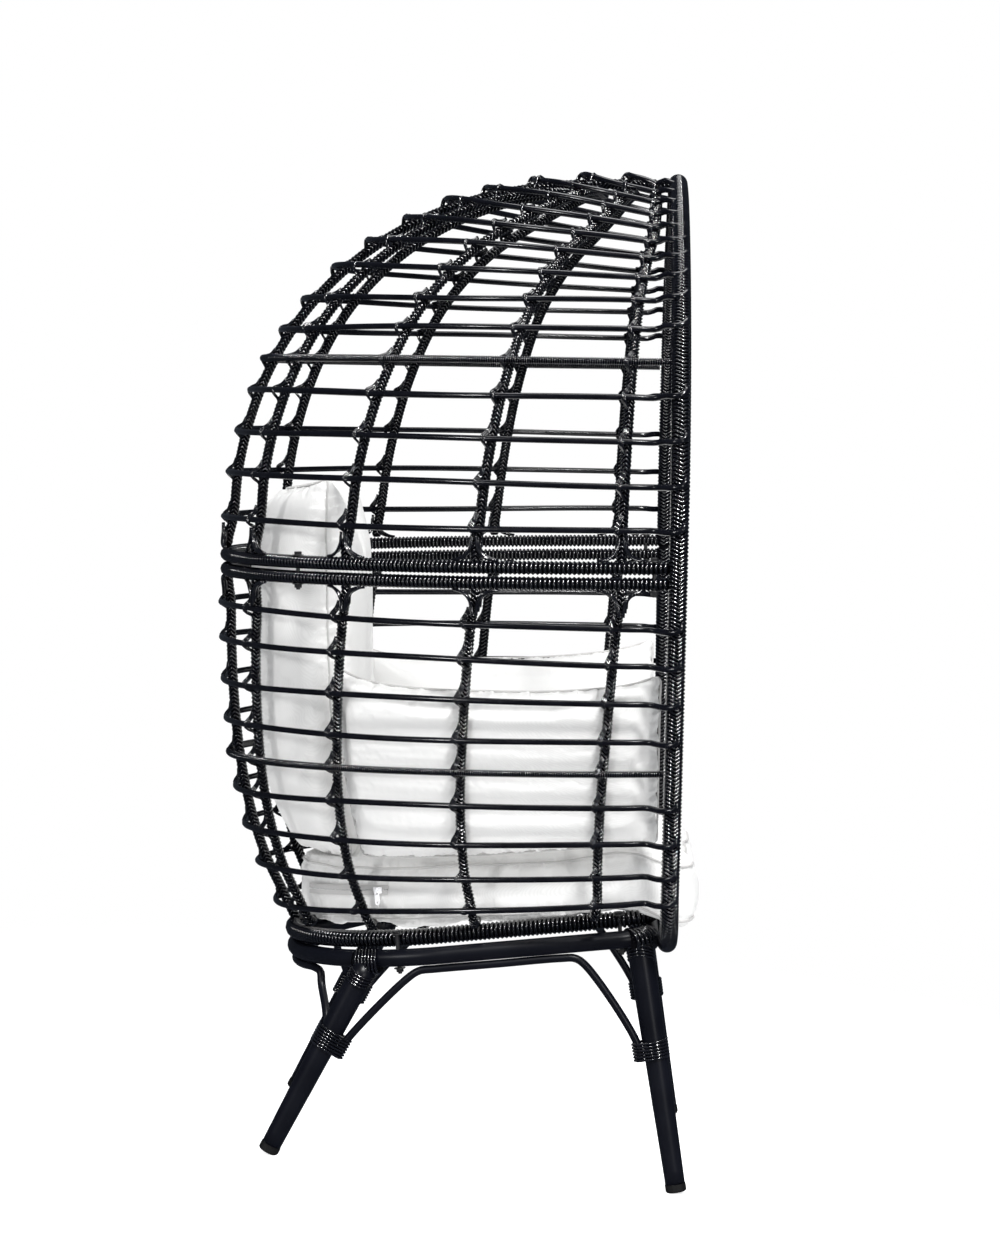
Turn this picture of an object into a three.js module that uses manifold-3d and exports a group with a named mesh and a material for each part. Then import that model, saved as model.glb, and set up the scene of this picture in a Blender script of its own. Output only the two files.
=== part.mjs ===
// Free-standing egg chair: an open basket of woven ribs and strands in two bolted half
// shells, on a ring stand with four splayed legs, with four loose cushions.
// Millimetres, +Z up, the sitter faces -Y and the sitter's right hand is on -X.
import * as THREE from "three";
import { mergeVertices } from "three/addons/utils/BufferGeometryUtils.js";
import Module from "manifold-3d";

const wasm = await Module();
wasm.setup();

// ---- driving dimensions -------------------------------------------------------------
const GAP = 0.3; // clearance between touching pieces
const RECLINE = THREE.MathUtils.degToRad(4.1); // the basket leans back on its stand
const STRAND_R = 4.4; // round extruded strand
const RIB_R = 8; // steel rod with its braided cords
const RIM_R = 13.5; // front rim tube, wound
const JOINT_R = 9.5; // the two wound rings where the half shells meet
const STIFF_R = 5.5; // wound stiffener ring of each half shell
const BASE_R = 10; // ring under the basket
const STAND_R = 13; // ring tube of the stand
const BRACE_R = 6; // bent brace rods

const HALF_DEPTH = 583; // back of the basket to the shell's centre line
const CENTRE_F = 5; // centre line, forward of the origin of the profiles
const JOINT_Z = -250; // parting plane of the two half shells
const UPPER_H = 568; // parting plane to the crown
const LOWER_H = 726; // parting plane to the foot of the back profile
const HALF_WIDTH = 430; // centre line of the rim at its widest
const WIDEST_Z = -150;
const RIM_RISE = 466; // widest level to the top of the rim
const RIM_DROP = 665; // widest level to the bottom of the rim
const RIM_ANGLE = THREE.MathUtils.degToRad(95); // rim's place round the section
const RIBS = [
  // place round the joint, its drift per course up and down, and where the arch tops
  { angle: 26, up: 0, down: -0.55, top: -40 },
  { angle: 48, up: 0.45, down: -0.65, top: 5 },
  { angle: 68.5, up: 0.4, down: -0.5, top: 55 },
  { angle: 87.8, up: 0.1, down: -0.4, top: 90 },
];
const STRAND_DEPTH = 7.6; // strand centres lie this far inside the outline
const RIB_DEPTH = STRAND_DEPTH + STRAND_R + GAP + RIB_R + 0.3;

const UPPER_STRANDS = 14;
const LOWER_STRANDS = 8;
const STIFFENER = 5; // place of each stiffener among the courses
const CROWN = 16; // course number of the rim's top

// Where the hand-laid courses stand: arc lengths up or down the back, and along the rim.
const UPPER_BACK = [0, 59, 128, 193, 257, 309, 362, 419, 486, 553, 621, 687, 752, 824, 899, 967, 1040];
const UPPER_RIM = [7, 63, 125, 188, 254, 310, 366, 419, 463, 505, 543, 581, 620, 660, 702, 744, 785.4];
const LOWER_BACK = [0, 50, 103, 165, 227, 279, 331, 392, 455, 520, 585];
const LOWER_RIM = [26, 80, 134, 190, 246, 293, 345, 400, 450, 492, 534];

const SLOPE = Math.tan(THREE.MathUtils.degToRad(5.3)); // the rings rise to the front
const RING_BACK = -466;
const RING_Z = -813; // base ring centre at the very back
const RING_ARC_F = -230; // where the rounded rear of the rings begins
const BASE_PLAN = { half: 206, back: -466, front: 77, corner: 45 };
const STAND_PLAN = { half: 222, back: -463, front: 74, corner: 42 };
const STAND_DROP = BASE_R + STAND_R + GAP;
const LEG_TOP_R = 19.4;
const LEG_END_R = 14.5;
const CAP_LENGTH = 12;

const GROUND = 1147; // basket axes' origin above the ground, along the upright

const STEEL = { color: 0x17181a, roughness: 0.35, metalness: 0.2 };
const RESIN = { color: 0x121316, roughness: 0.28, metalness: 0 };
const PLASTIC = { color: 0x141414, roughness: 0.5, metalness: 0 };
const CLOTH = { color: 0xe9e7e3, roughness: 0.9, metalness: 0 };
const ZIP = { color: 0xf2f2f2, roughness: 0.4, metalness: 0 };

const chair = new THREE.Group();
const sum = (f, n) => Array.from({ length: n }, (_, i) => f(i));

// ---- placing: basket axes (x, forward, up) to the upright chair ----------------------
const upright = new THREE.Matrix4().makeRotationX(-RECLINE).setPosition(0, 0, GROUND);
const at = (x, f, z) => new THREE.Vector3(x, -f, z).applyMatrix4(upright);

function add(name, geometry, look) {
  const mesh = new THREE.Mesh(geometry, new THREE.MeshStandardMaterial(look));
  mesh.name = name;
  chair.add(mesh);
  return mesh;
}

function disc(radius, sides) {
  const turn = (i) => (2 * Math.PI * (i + 0.5)) / sides;
  const corner = (i) => new THREE.Vector2(Math.cos(turn(i)), Math.sin(turn(i)));
  return new THREE.Shape(sum((i) => corner(i).multiplyScalar(radius), sides));
}

// A round rod whose sections stand exactly at the given points of its centre line.
function rod(points, radius, sides = 8) {
  const path = new THREE.CatmullRomCurve3(points, false, "centripetal");
  path.getUtoTmapping = (u) => u;
  const options = { steps: points.length - 1, extrudePath: path, bevelEnabled: false };
  return new THREE.ExtrudeGeometry(disc(radius, sides), options);
}

// A closed tube: a torus laid round a flat loop.
function hoop(points, radius, steps, sides) {
  const path = new THREE.CatmullRomCurve3(points, true, "centripetal");
  path.arcLengthDivisions = 800;
  const [a, b] = [0, 0.25].map((s) => path.getTangentAt(s));
  const normal = a.cross(b).normalize();
  const ring = new THREE.TorusGeometry(100, radius, sides, steps);
  const place = ring.getAttribute("position");
  const uv = ring.getAttribute("uv");
  for (let i = 0; i < place.count; i += 1) {
    const along = uv.getX(i) % 1;
    const turn = 2 * Math.PI * (uv.getY(i) % 1);
    const out = path.getTangentAt(along).cross(normal);
    const p = path.getPointAt(along).addScaledVector(out, radius * Math.cos(turn));
    p.addScaledVector(normal, radius * Math.sin(turn));
    place.setXYZ(i, p.x, p.y, p.z);
  }
  ring.computeVertexNormals();
  return ring;
}

// A smooth line read again at even steps, with both ends cut back by a length.
function evenly(points, steps, cut = 0) {
  const path = new THREE.CatmullRomCurve3(points, false, "centripetal");
  path.arcLengthDivisions = 800;
  const end = cut / path.getLength();
  return sum((i) => path.getPointAt(end + ((1 - 2 * end) * i) / steps), steps + 1);
}

// ---- the shell's two guiding lines, each read by course number -----------------------
function superArc(z0, height, power, reach, steps = 80) {
  const bend = (v) => Math.sign(v) * Math.pow(Math.abs(v), 2 / power);
  const spot = (i) => {
    const t = (Math.PI / 2) * (i / 80);
    const f = CENTRE_F - reach * bend(Math.cos(t));
    return new THREE.Vector3(0, f, z0 + height * bend(Math.sin(t)));
  };
  const line = new THREE.CatmullRomCurve3(sum(spot, steps + 1), false, "centripetal");
  line.arcLengthDivisions = 800;
  return line;
}

const rimForward = (z) => 101.3 + (z + 721) * 0.01418;

function lowerHalfWidth(z) {
  const drop = Math.min((WIDEST_Z - z) / RIM_DROP, 1);
  const taper = 1 - 0.38 * Math.pow(Math.max(drop, 0), 1.15);
  return HALF_WIDTH * taper * Math.sqrt(1 - Math.pow(Math.max(drop, 0), 30));
}

// Half of the rim's top arch, from the parting plane to the crown.
function upperRimHalf() {
  const side = sum((i) => JOINT_Z + ((WIDEST_Z - JOINT_Z) * i) / 4, 4);
  const low = side.map((z) => new THREE.Vector3(lowerHalfWidth(z), rimForward(z), z));
  const high = sum((i) => {
    const t = (Math.PI / 2) * (i / 24);
    const z = WIDEST_Z + RIM_RISE * Math.sin(t);
    const x = HALF_WIDTH * Math.pow(Math.max(Math.cos(t), 0), 1.36);
    return new THREE.Vector3(x, rimForward(z), z);
  }, 25);
  return [...low, ...high];
}

// Half of the rim's lower loop, from the parting plane to the middle of the seat front.
function lowerRimHalf() {
  const side = sum((i) => JOINT_Z + (WIDEST_Z - 0.8 * RIM_DROP - JOINT_Z) * (i / 8), 8);
  const upper = side.map((z) => new THREE.Vector3(lowerHalfWidth(z), rimForward(z), z));
  const start = Math.asin(Math.pow(0.8, 15));
  const turn = sum((i) => {
    const t = start + (Math.PI / 2 - start) * (i / 12);
    const drop = Math.pow(Math.sin(t), 1 / 15);
    const x = HALF_WIDTH * (1 - 0.38 * Math.pow(drop, 1.15)) * Math.cos(t);
    const z = WIDEST_Z - RIM_DROP * drop;
    return new THREE.Vector3(Math.max(x, 0), rimForward(z), z);
  }, 13);
  return [...upper, ...turn];
}

function guide(points) {
  const line = new THREE.CatmullRomCurve3(points, false, "centripetal");
  line.arcLengthDivisions = 800;
  return line;
}

const backUpper = superArc(JOINT_Z + 9, UPPER_H + 9, 2.23, HALF_DEPTH, 95); // past the crown
const backLower = superArc(JOINT_Z - 12, -(LOWER_H - 12), 3, HALF_DEPTH + 3.5);
const rimUpper = guide(upperRimHalf());
const rimLower = guide(lowerRimHalf());

// A list read between its entries, and on past its end.
function read(list, q) {
  const i = Math.min(Math.max(Math.floor(q), 0), list.length - 2);
  return list[i] + (list[i + 1] - list[i]) * (q - i);
}

// The course, whole or part, at which a list reaches an arc length.
function courseOf(list, length) {
  let i = 0;
  while (i < list.length - 2 && list[i + 1] < length) i += 1;
  return i + (length - list[i]) / (list[i + 1] - list[i]);
}

const CORE = new THREE.Vector3(0, -60, -250); // a place well inside the basket

// A point of the shell: course q, angle phi from the middle of the back.
function shell(upper, q, phi) {
  const backLine = upper ? backUpper : backLower;
  const rimLine = upper ? rimUpper : rimLower;
  const along = (line, s) => line.getPointAt(THREE.MathUtils.clamp(s / line.getLength(), 0, 1));
  const back = along(backLine, read(upper ? UPPER_BACK : LOWER_BACK, q));
  const rim = along(rimLine, read(upper ? UPPER_RIM : LOWER_RIM, q));
  const over = -Math.cos(RIM_ANGLE);
  const middle = new THREE.Vector3(0, rim.y, rim.z);
  middle.addScaledVector(back, over).divideScalar(1 + over);
  const span = new THREE.Vector3().subVectors(back, middle);
  middle.addScaledVector(span, Math.cos(phi));
  middle.x = (rim.x / Math.sin(RIM_ANGLE)) * Math.sin(phi);
  return middle;
}

function shellPoint(upper, q, phi, depth) {
  const here = shell(upper, q, phi);
  const dq = shell(upper, q + 0.02, phi).sub(shell(upper, q - 0.02, phi));
  const dphi = shell(upper, q, phi + 0.01).sub(shell(upper, q, phi - 0.01));
  const normal = dq.cross(dphi).normalize();
  const outward = here.clone().sub(CORE).dot(normal) > 0 ? 1 : -1;
  return here.addScaledVector(normal, -outward * depth);
}

const put = (p) => at(p.x, p.y, p.z);

// ---- where the ribs stand round the shell at each course --------------------------------
const rad = THREE.MathUtils.degToRad;

function courseAtBack(forward) {
  let low = 5;
  let high = CROWN;
  for (let i = 0; i < 40; i += 1) {
    const q = (low + high) / 2;
    if (shell(true, q, 0).y < forward) low = q;
    else high = q;
  }
  return low;
}

const TOPS = RIBS.map((rib) => courseAtBack(rib.top));
const SWING = 11; // above this course the arches swing over to their tops

// A rib's angle at a course: it drifts a little, and near the crown runs to its top.
function ribAngle(upper, i, q) {
  const rib = RIBS[i];
  if (!upper) return rad(rib.angle + rib.down * q);
  if (q <= SWING) return rad(rib.angle + rib.up * q);
  if (q >= TOPS[i]) return 0;
  const start = shell(true, SWING, ribAngle(true, i, SWING));
  let low = 0;
  let high = RIM_ANGLE;
  for (let n = 0; n < 40; n += 1) {
    const phi = (low + high) / 2;
    const here = shell(true, q, phi);
    const share = Math.pow(here.x / start.x, 2);
    if (here.y < rib.top + (start.y - rib.top) * share) low = phi;
    else high = phi;
  }
  return low;
}

// Angles of a course's bends: over each rib, half way between them, and at the rim.
function courseAngles(upper, q, reach) {
  const near = shell(upper, q, RIM_ANGLE);
  const step = near.distanceTo(shell(upper, q, RIM_ANGLE - 0.01)) / 0.01;
  const end = RIM_ANGLE - reach / step;
  const over = RIBS.map((_, i) => ribAngle(upper, i, q)).filter((a) => a > 0.2 && a < end - 0.05);
  const stops = [0, ...over, end];
  const half = [0];
  for (let i = 1; i < stops.length; i += 1) {
    half.push((stops[i - 1] + stops[i]) / 2, stops[i]);
  }
  const other = half.slice(1).reverse().map((a) => -a);
  return [...other, ...half];
}

// ---- strands and stiffener rings: one line round the back from rim to rim -------------
function courseLine(upper, q, depth, reach) {
  const angles = courseAngles(upper, q, reach);
  return angles.map((phi) => put(shellPoint(upper, q, phi, depth)));
}

function weave(upper, count, label) {
  const two = (n) => String(n).padStart(2, "0");
  for (let n = 1; n <= count; n += 1) {
    const q = n < STIFFENER ? n : n + 1;
    const line = courseLine(upper, q, STRAND_DEPTH, RIM_R + 2);
    add(`${label}_strand_${two(n)}`, rod(line, STRAND_R, 5), RESIN);
  }
  const depth = STRAND_DEPTH - (STIFF_R - STRAND_R);
  const line = courseLine(upper, STIFFENER, depth, RIM_R + 1);
  add(`${label}_stiffener_ring`, rod(line, STIFF_R, 6), RESIN);
}

weave(true, UPPER_STRANDS, "upper");
weave(false, LOWER_STRANDS, "lower");

// ---- rims and the two joint rings ------------------------------------------------------
function mirrored(half) {
  const flip = (p) => new THREE.Vector3(-p.x, p.y, p.z);
  return [...half, ...half.slice(0, -1).reverse().map(flip)];
}

const slit = 1.6; // half of the gap between the two half shells
const upperRim = mirrored(upperRimHalf()).map(put);
const lowerRim = mirrored(lowerRimHalf()).map(put);
add("upper_rim_tube", rod(evenly(upperRim, 32, slit), RIM_R, 8), RESIN);
add("lower_rim_tube", rod(evenly(lowerRim, 38, slit), RIM_R, 8), RESIN);

const JOINT_RISE = JOINT_R + slit;

// Centre line of a joint ring, in basket axes; up is 1 for the upper one, -1 below.
function jointPoint(up, phi) {
  const z = JOINT_Z + up * JOINT_RISE;
  const over = -Math.cos(RIM_ANGLE);
  const back = CENTRE_F - HALF_DEPTH + JOINT_R + 4;
  const middle = (rimForward(z) + over * back) / (1 + over);
  const inset = 12 - 9 * THREE.MathUtils.smoothstep(Math.abs(phi), Math.PI / 2, RIM_ANGLE);
  const half = lowerHalfWidth(z) / Math.sin(RIM_ANGLE) - inset;
  const f = middle + (back - middle) * Math.cos(phi);
  return new THREE.Vector3(half * Math.sin(phi), f, z);
}

function jointRing(up) {
  const steps = 40;
  const spot = (i) => put(jointPoint(up, -RIM_ANGLE + (2 * RIM_ANGLE * i) / steps));
  return evenly(sum(spot, steps + 1), 24, RIM_R + GAP + 0.5);
}

add("upper_joint_ring", rod(jointRing(1), JOINT_R), RESIN);
add("lower_joint_ring", rod(jointRing(-1), JOINT_R), RESIN);

// ---- upper ribs: four arches from side to side under one back rib ----------------------
// Where a rib stands on a joint ring.
const seat = (up, phi, rise = 0) => {
  const p = jointPoint(up, phi);
  p.z += up * (JOINT_R + GAP + 0.6 + rise);
  return p;
};

// How far an arch dips to pass under the back rib.
const under = (x) => (2 * RIB_R + 2 * GAP) * Math.exp(-Math.pow(x / 45, 2));

RIBS.forEach((rib, i) => {
  const half = [seat(1, rad(rib.angle)), seat(1, rad(rib.angle), 9)];
  const courses = sum((n) => n + 1, Math.ceil(TOPS[i] - 0.1) - 1);
  for (const q of [...courses, (courses.at(-1) + 2 * TOPS[i]) / 3]) {
    const phi = ribAngle(true, i, q);
    const dip = under(shell(true, q, phi).x);
    half.push(shellPoint(true, q, phi, RIB_DEPTH + dip + (q > 1 ? 0 : 0.8)));
  }
  half.push(shellPoint(true, TOPS[i], 0, RIB_DEPTH + under(0)));
  add(`upper_rib_arch_${i + 1}`, rod(mirrored(half).map(put), RIB_R, 7), RESIN);
});

const backUp = [seat(1, 0), seat(1, 0, 9)];
for (let q = 1; q < CROWN; q += 1) backUp.push(shellPoint(true, q, 0, RIB_DEPTH));
const rimTop = upperRimHalf().at(-1);
backUp.push(new THREE.Vector3(0, rimTop.y - RIM_R - 2, rimTop.z - 5));
add("upper_back_rib", rod(backUp.map(put), RIB_R), RESIN);

// ---- lower ribs: hoops down one side, under the seat and up the other ------------------
const ringHeight = (f, lift = 0) => RING_Z + (f - RING_BACK) * SLOPE + lift;
const FLOOR_LIFT = BASE_R + GAP + RIB_R;

RIBS.forEach((rib, i) => {
  const half = [seat(-1, rad(rib.angle)), seat(-1, rad(rib.angle), 9)];
  for (let q = 1; q < 9.1; q += 1) {
    const clear = q > 1 && q < 9 ? 0 : 1.2;
    half.push(shellPoint(false, q, ribAngle(false, i, q), RIB_DEPTH + clear));
  }
  const last = half.at(-1);
  const f = 50 - 516 * Math.cos(ribAngle(false, i, 10));
  const floor = ringHeight(f, FLOOR_LIFT);
  const bend = (x, y, z) => half.push(new THREE.Vector3(x, y, z));
  bend(last.x - 4, last.y * 0.4 + f * 0.6, last.z + (floor - last.z) * 0.62);
  bend(last.x - 14, f, floor + 2);
  bend(last.x - 34, f, floor);
  bend((last.x - 34) / 2, f, floor);
  bend(0, f, floor);
  add(`lower_rib_hoop_${i + 1}`, rod(mirrored(half).map(put), RIB_R, 7), RESIN);
});

const backDown = [seat(-1, 0), seat(-1, 0, 9)];
for (let q = 1; q < 9.1; q += 1) backDown.push(shellPoint(false, q, 0, RIB_DEPTH));
backDown.push(new THREE.Vector3(0, RING_BACK + 3, RING_Z + BASE_R + GAP + 2));
add("lower_back_rib", rod(backDown.map(put), RIB_R), RESIN);

// ---- base ring and stand ring: closed tubes of one plan --------------------------------
function ringPoints(plan, drop, count) {
  const { half, back, front, corner } = plan;
  const depth = RING_ARC_F - back;
  const path = new THREE.Path();
  path.moveTo(half, RING_ARC_F);
  path.lineTo(half, front - corner);
  path.absarc(half - corner, front - corner, corner, 0, Math.PI / 2, false);
  path.lineTo(corner - half, front);
  path.absarc(corner - half, front - corner, corner, Math.PI / 2, Math.PI, false);
  path.lineTo(-half, RING_ARC_F);
  path.absellipse(0, RING_ARC_F, half, depth, Math.PI, 2 * Math.PI, false);
  const spots = path.getSpacedPoints(count).slice(0, -1);
  return spots.map((p) => at(p.x, p.y, ringHeight(p.y, -drop)));
}

const standLine = ringPoints(STAND_PLAN, STAND_DROP, 40);
add("base_ring", hoop(ringPoints(BASE_PLAN, 0, 40), BASE_R, 40, 8), RESIN);
add("stand_ring", hoop(standLine, STAND_R, 40, 8), STEEL);

// ---- solids for cutting ----------------------------------------------------------------
function solid(geometry) {
  const bare = geometry.clone();
  bare.deleteAttribute("normal");
  bare.deleteAttribute("uv");
  const merged = mergeVertices(bare, 0.01);
  const vertProperties = new Float32Array(merged.getAttribute("position").array);
  const triVerts = new Uint32Array(merged.index.array);
  return new wasm.Manifold(new wasm.Mesh({ numProp: 3, vertProperties, triVerts }));
}

function surface(body) {
  const { numProp, vertProperties, triVerts } = body.getMesh();
  const count = vertProperties.length / numProp;
  const xyz = new Float32Array(3 * count);
  for (let i = 0; i < count; i += 1) {
    for (let k = 0; k < 3; k += 1) xyz[3 * i + k] = vertProperties[i * numProp + k];
  }
  const geometry = new THREE.BufferGeometry();
  geometry.setAttribute("position", new THREE.BufferAttribute(xyz, 3));
  geometry.setIndex(Array.from(triVerts));
  geometry.computeVertexNormals();
  return geometry;
}

// Turns a shape made along +Y to lie along a line, from its lower end.
function alongLine(geometry, from, direction) {
  const up = new THREE.Vector3(0, 1, 0);
  const turn = new THREE.Quaternion().setFromUnitVectors(up, direction);
  return geometry.applyQuaternion(turn).translate(from.x, from.y, from.z);
}

// ---- legs: tapered tubes, saddled under the stand ring, with trimmed foot caps ----------
const ringCutter = solid(hoop(standLine, STAND_R + GAP, 40, 8));
const groundCutter = solid(new THREE.BoxGeometry(3000, 3000, 100).translate(0, 0, -50));

function capProfile(radius) {
  const r = 3;
  const edge = sum((k) => {
    const t = (Math.PI / 2) * (k / 3);
    const x = radius - r + r * Math.sin(t);
    return new THREE.Vector2(x, r - r * Math.cos(t));
  }, 4);
  const rest = [new THREE.Vector2(radius, CAP_LENGTH), new THREE.Vector2(0, CAP_LENGTH)];
  return [new THREE.Vector2(0, 0), ...edge, ...rest];
}

// Axis of a leg: its point at the stand ring and the centre of its cap's end.
function legAxis(topX, topF, footX, footF) {
  const top = at(topX, topF, ringHeight(topF, -STAND_DROP));
  const lowZ = -(GROUND + footF * Math.sin(RECLINE)) / Math.cos(RECLINE);
  const low = at(footX, footF, lowZ);
  const up = new THREE.Vector3().subVectors(top, low).normalize();
  const lean = Math.acos(up.z);
  const height = (LEG_END_R - 3) * Math.sin(lean) + 3 * (1 - Math.cos(lean)) - 1.2;
  const end = low.clone().addScaledVector(up, height / up.z);
  return { top, end, up };
}

function leg(name, axis) {
  const start = CAP_LENGTH + GAP;
  const length = axis.top.distanceTo(axis.end) - start;
  const tube = new THREE.CylinderGeometry(LEG_TOP_R, LEG_END_R, length, 14, 1);
  tube.translate(0, length / 2 + start, 0);
  const body = solid(alongLine(tube, axis.end, axis.up)).subtract(ringCutter);
  const largest = body.decompose().sort((a, b) => b.volume() - a.volume())[0];
  add(name, surface(largest), STEEL);
  const cap = new THREE.LatheGeometry(capProfile(LEG_END_R + 0.8), 14);
  const trimmedCap = solid(alongLine(cap, axis.end, axis.up)).subtract(groundCutter);
  add(name.replace("leg", "foot_cap"), surface(trimmedCap), PLASTIC);
}

const SIDES = [
  { side: "right", x: -1 },
  { side: "left", x: 1 },
];
const axes = {};
for (const { side, x } of SIDES) {
  axes[`rear_${side}`] = legAxis(198 * x, -335, 203.5 * x, -489);
  axes[`front_${side}`] = legAxis(213 * x, 58, 242.5 * x, 114);
}
for (const [place, axis] of Object.entries(axes)) leg(`leg_${place}`, axis);

// ---- braces: bent rods under the stand ring, each end lying along a leg -----------------
// A point beside a leg at a share of its length from the top, out in a given direction.
function beside(axis, share, outX, outF) {
  const core = axis.top.clone().lerp(axis.end, share);
  const out = new THREE.Vector3(outX, -outF, 0);
  out.addScaledVector(axis.up, -out.dot(axis.up)).normalize();
  const radius = LEG_TOP_R + (LEG_END_R - LEG_TOP_R) * share;
  return core.addScaledVector(out, radius + BRACE_R + 4 * GAP);
}

const underRing = (f) => ringHeight(f, -STAND_DROP - STAND_R - BRACE_R - 2 * GAP);

for (const { side, x } of SIDES) {
  const rear = axes[`rear_${side}`];
  const front = axes[`front_${side}`];
  const line = [
    beside(rear, 0.47, 0.1 * x, 1),
    beside(rear, 0.4, 0.1 * x, 1),
    at(218 * x, -283, underRing(-283) - 14),
    at(220 * x, -262, underRing(-262) - 1),
    at(221 * x, -240, underRing(-240)),
    at(222 * x, -150, underRing(-150)),
    at(222 * x, -55, underRing(-55)),
    at(222 * x, -34, underRing(-34) - 2),
    at(222 * x, -18, underRing(-18) - 15),
    beside(front, 0.41, 0.1 * x, -1),
    beside(front, 0.48, 0.1 * x, -1),
  ];
  add(`brace_${side}`, rod(evenly(line, 20), BRACE_R, 7), STEEL);
}

const rearHalf = (x) => {
  const rear = axes[x < 0 ? "rear_right" : "rear_left"];
  const depth = RING_ARC_F - STAND_PLAN.back;
  const arc = sum((k) => {
    const t = rad(34 - 8.5 * k);
    const f = RING_ARC_F - depth * Math.cos(t);
    return at(x * STAND_PLAN.half * Math.sin(t), f, underRing(f));
  }, 4);
  return [
    beside(rear, 0.43, -0.8 * x, -0.6),
    beside(rear, 0.36, -0.8 * x, -0.6),
    at(141 * x, -412, underRing(-412) - 22),
    at(136 * x, -414, underRing(-414) - 5),
    ...arc,
  ];
};
const rearArc = [...rearHalf(-1), at(0, STAND_PLAN.back, underRing(STAND_PLAN.back))];
rearArc.push(...rearHalf(1).reverse());
add("brace_rear", rod(evenly(rearArc, 26), BRACE_R, 7), STEEL);

// ---- cushions: plain padded slabs bent to the inside of the basket ----------------------
const SEAT_THICK = 86;
const seatBottom = (f) => ringHeight(f, FLOOR_LIFT + RIB_R + 0.6);
const seatTop = (f) => seatBottom(f) + SEAT_THICK;

function seatCushion() {
  const { half, back, widest, front, corner, bevel } = SEAT_PLAN;
  const outline = new THREE.Shape();
  outline.moveTo(half, widest);
  outline.lineTo(half, front - corner);
  outline.absarc(half - corner, front - corner, corner, 0, Math.PI / 2, false);
  outline.lineTo(corner - half, front);
  outline.absarc(corner - half, front - corner, corner, Math.PI / 2, Math.PI, false);
  outline.lineTo(-half, widest);
  outline.absellipse(0, widest, half, widest - back, Math.PI, 2 * Math.PI, false);
  const options = {
    depth: SEAT_THICK - 2 * bevel,
    bevelThickness: bevel,
    bevelSize: bevel,
    bevelOffset: -bevel,
    bevelSegments: 3,
    curveSegments: 7,
  };
  const geometry = new THREE.ExtrudeGeometry(outline, options);
  const place = geometry.getAttribute("position");
  for (let i = 0; i < place.count; i += 1) {
    const f = place.getY(i);
    const p = at(-place.getX(i), f, place.getZ(i) + bevel + seatBottom(f));
    place.setXYZ(i, p.x, p.y, p.z);
  }
  return geometry;
}

const SEAT_PLAN = { half: 225, back: -464, widest: 50, front: 150, corner: 75, bevel: 24 };
add("seat_cushion", seatCushion(), CLOTH);

// ---- zip runner on the seat cushion's edge, and its hanging pull ------------------------
const ZIP_FORWARD = -352; // middle of its travel
const ZIP_TRAVEL = 60;

// Axes on the cushion's right edge: x forward along it, y up, z outwards.
function zipFrame() {
  const { half, back, widest } = SEAT_PLAN;
  const t = Math.asin((widest - ZIP_FORWARD) / (widest - back));
  const out = new THREE.Vector3((back - widest) * Math.cos(t), half * Math.sin(t), 0);
  out.applyAxisAngle(new THREE.Vector3(1, 0, 0), -RECLINE).normalize();
  const across = (widest - back) * Math.cos(t);
  const along = new THREE.Vector3(-half * Math.sin(t), -across, across * SLOPE);
  along.applyAxisAngle(new THREE.Vector3(1, 0, 0), -RECLINE).normalize();
  const up = out.clone().cross(along);
  const seat = at(-half * Math.cos(t), ZIP_FORWARD, seatBottom(ZIP_FORWARD) + SEAT_THICK / 2);
  seat.addScaledVector(along, ZIP_TRAVEL / 2).addScaledVector(out, GAP);
  return new THREE.Matrix4().makeBasis(along, up, out).setPosition(seat);
}

const block = (x, y, z, x0, y0, z0) => {
  return solid(new THREE.BoxGeometry(x, y, z).translate(x0, y0, z0));
};

function zipRunner() {
  const plate = block(13, 9, 3.5, 0, 0, 1.75);
  const loop = block(3.6, 7, 5, 0, 0, 5);
  const opening = block(5, 3.4, 2.6, 0, 0, 4.8);
  return surface(plate.add(loop).subtract(opening));
}

function zipPull() {
  const tab = new THREE.Shape();
  tab.moveTo(-3.9, 0.8);
  tab.lineTo(-3.9, -18);
  tab.absarc(0, -18, 3.9, Math.PI, 2 * Math.PI, false);
  tab.lineTo(3.9, 0.8);
  const eye = new THREE.Path();
  eye.moveTo(-2.5, -0.8);
  eye.lineTo(2.5, -0.8);
  eye.lineTo(2.5, -6);
  eye.lineTo(-2.5, -6);
  const grip = new THREE.Path().absarc(0, -17.6, 2, 0, 2 * Math.PI, true);
  tab.holes.push(eye, grip);
  const options = { depth: 1.4, bevelEnabled: false, curveSegments: 8 };
  return new THREE.ExtrudeGeometry(tab, options).translate(0, 0, 4.1);
}

const zipPlace = zipFrame();
add("zip_slider", zipRunner().applyMatrix4(zipPlace), ZIP);
add("zip_pull", zipPull().applyMatrix4(zipPlace), ZIP);

// A place inside the shell by height, angle and depth.
function lining(z, phi, depth) {
  const upper = z > JOINT_Z;
  const rise = upper ? courseOf(UPPER_BACK, z - JOINT_Z - 9) : courseOf(LOWER_BACK, JOINT_Z - 12 - z);
  return shellPoint(upper, Math.max(rise, 0.03), phi, depth);
}

// A slab of unit size, thinner towards its edges, bent by a placing rule.
function slab(place, across, tall) {
  const box = new THREE.BoxGeometry(2, 2, 2, across, tall, 1);
  const spots = box.getAttribute("position");
  for (let i = 0; i < spots.count; i += 1) {
    const u = spots.getX(i);
    const v = spots.getY(i);
    const full = Math.sqrt(1 - Math.pow(Math.abs(u), 5)) * Math.sqrt(1 - Math.pow(Math.abs(v), 5));
    const w = spots.getZ(i) * (0.62 + 0.38 * full);
    const p = place(u, v, w);
    spots.setXYZ(i, p.x, p.y, p.z);
  }
  return box;
}

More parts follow.
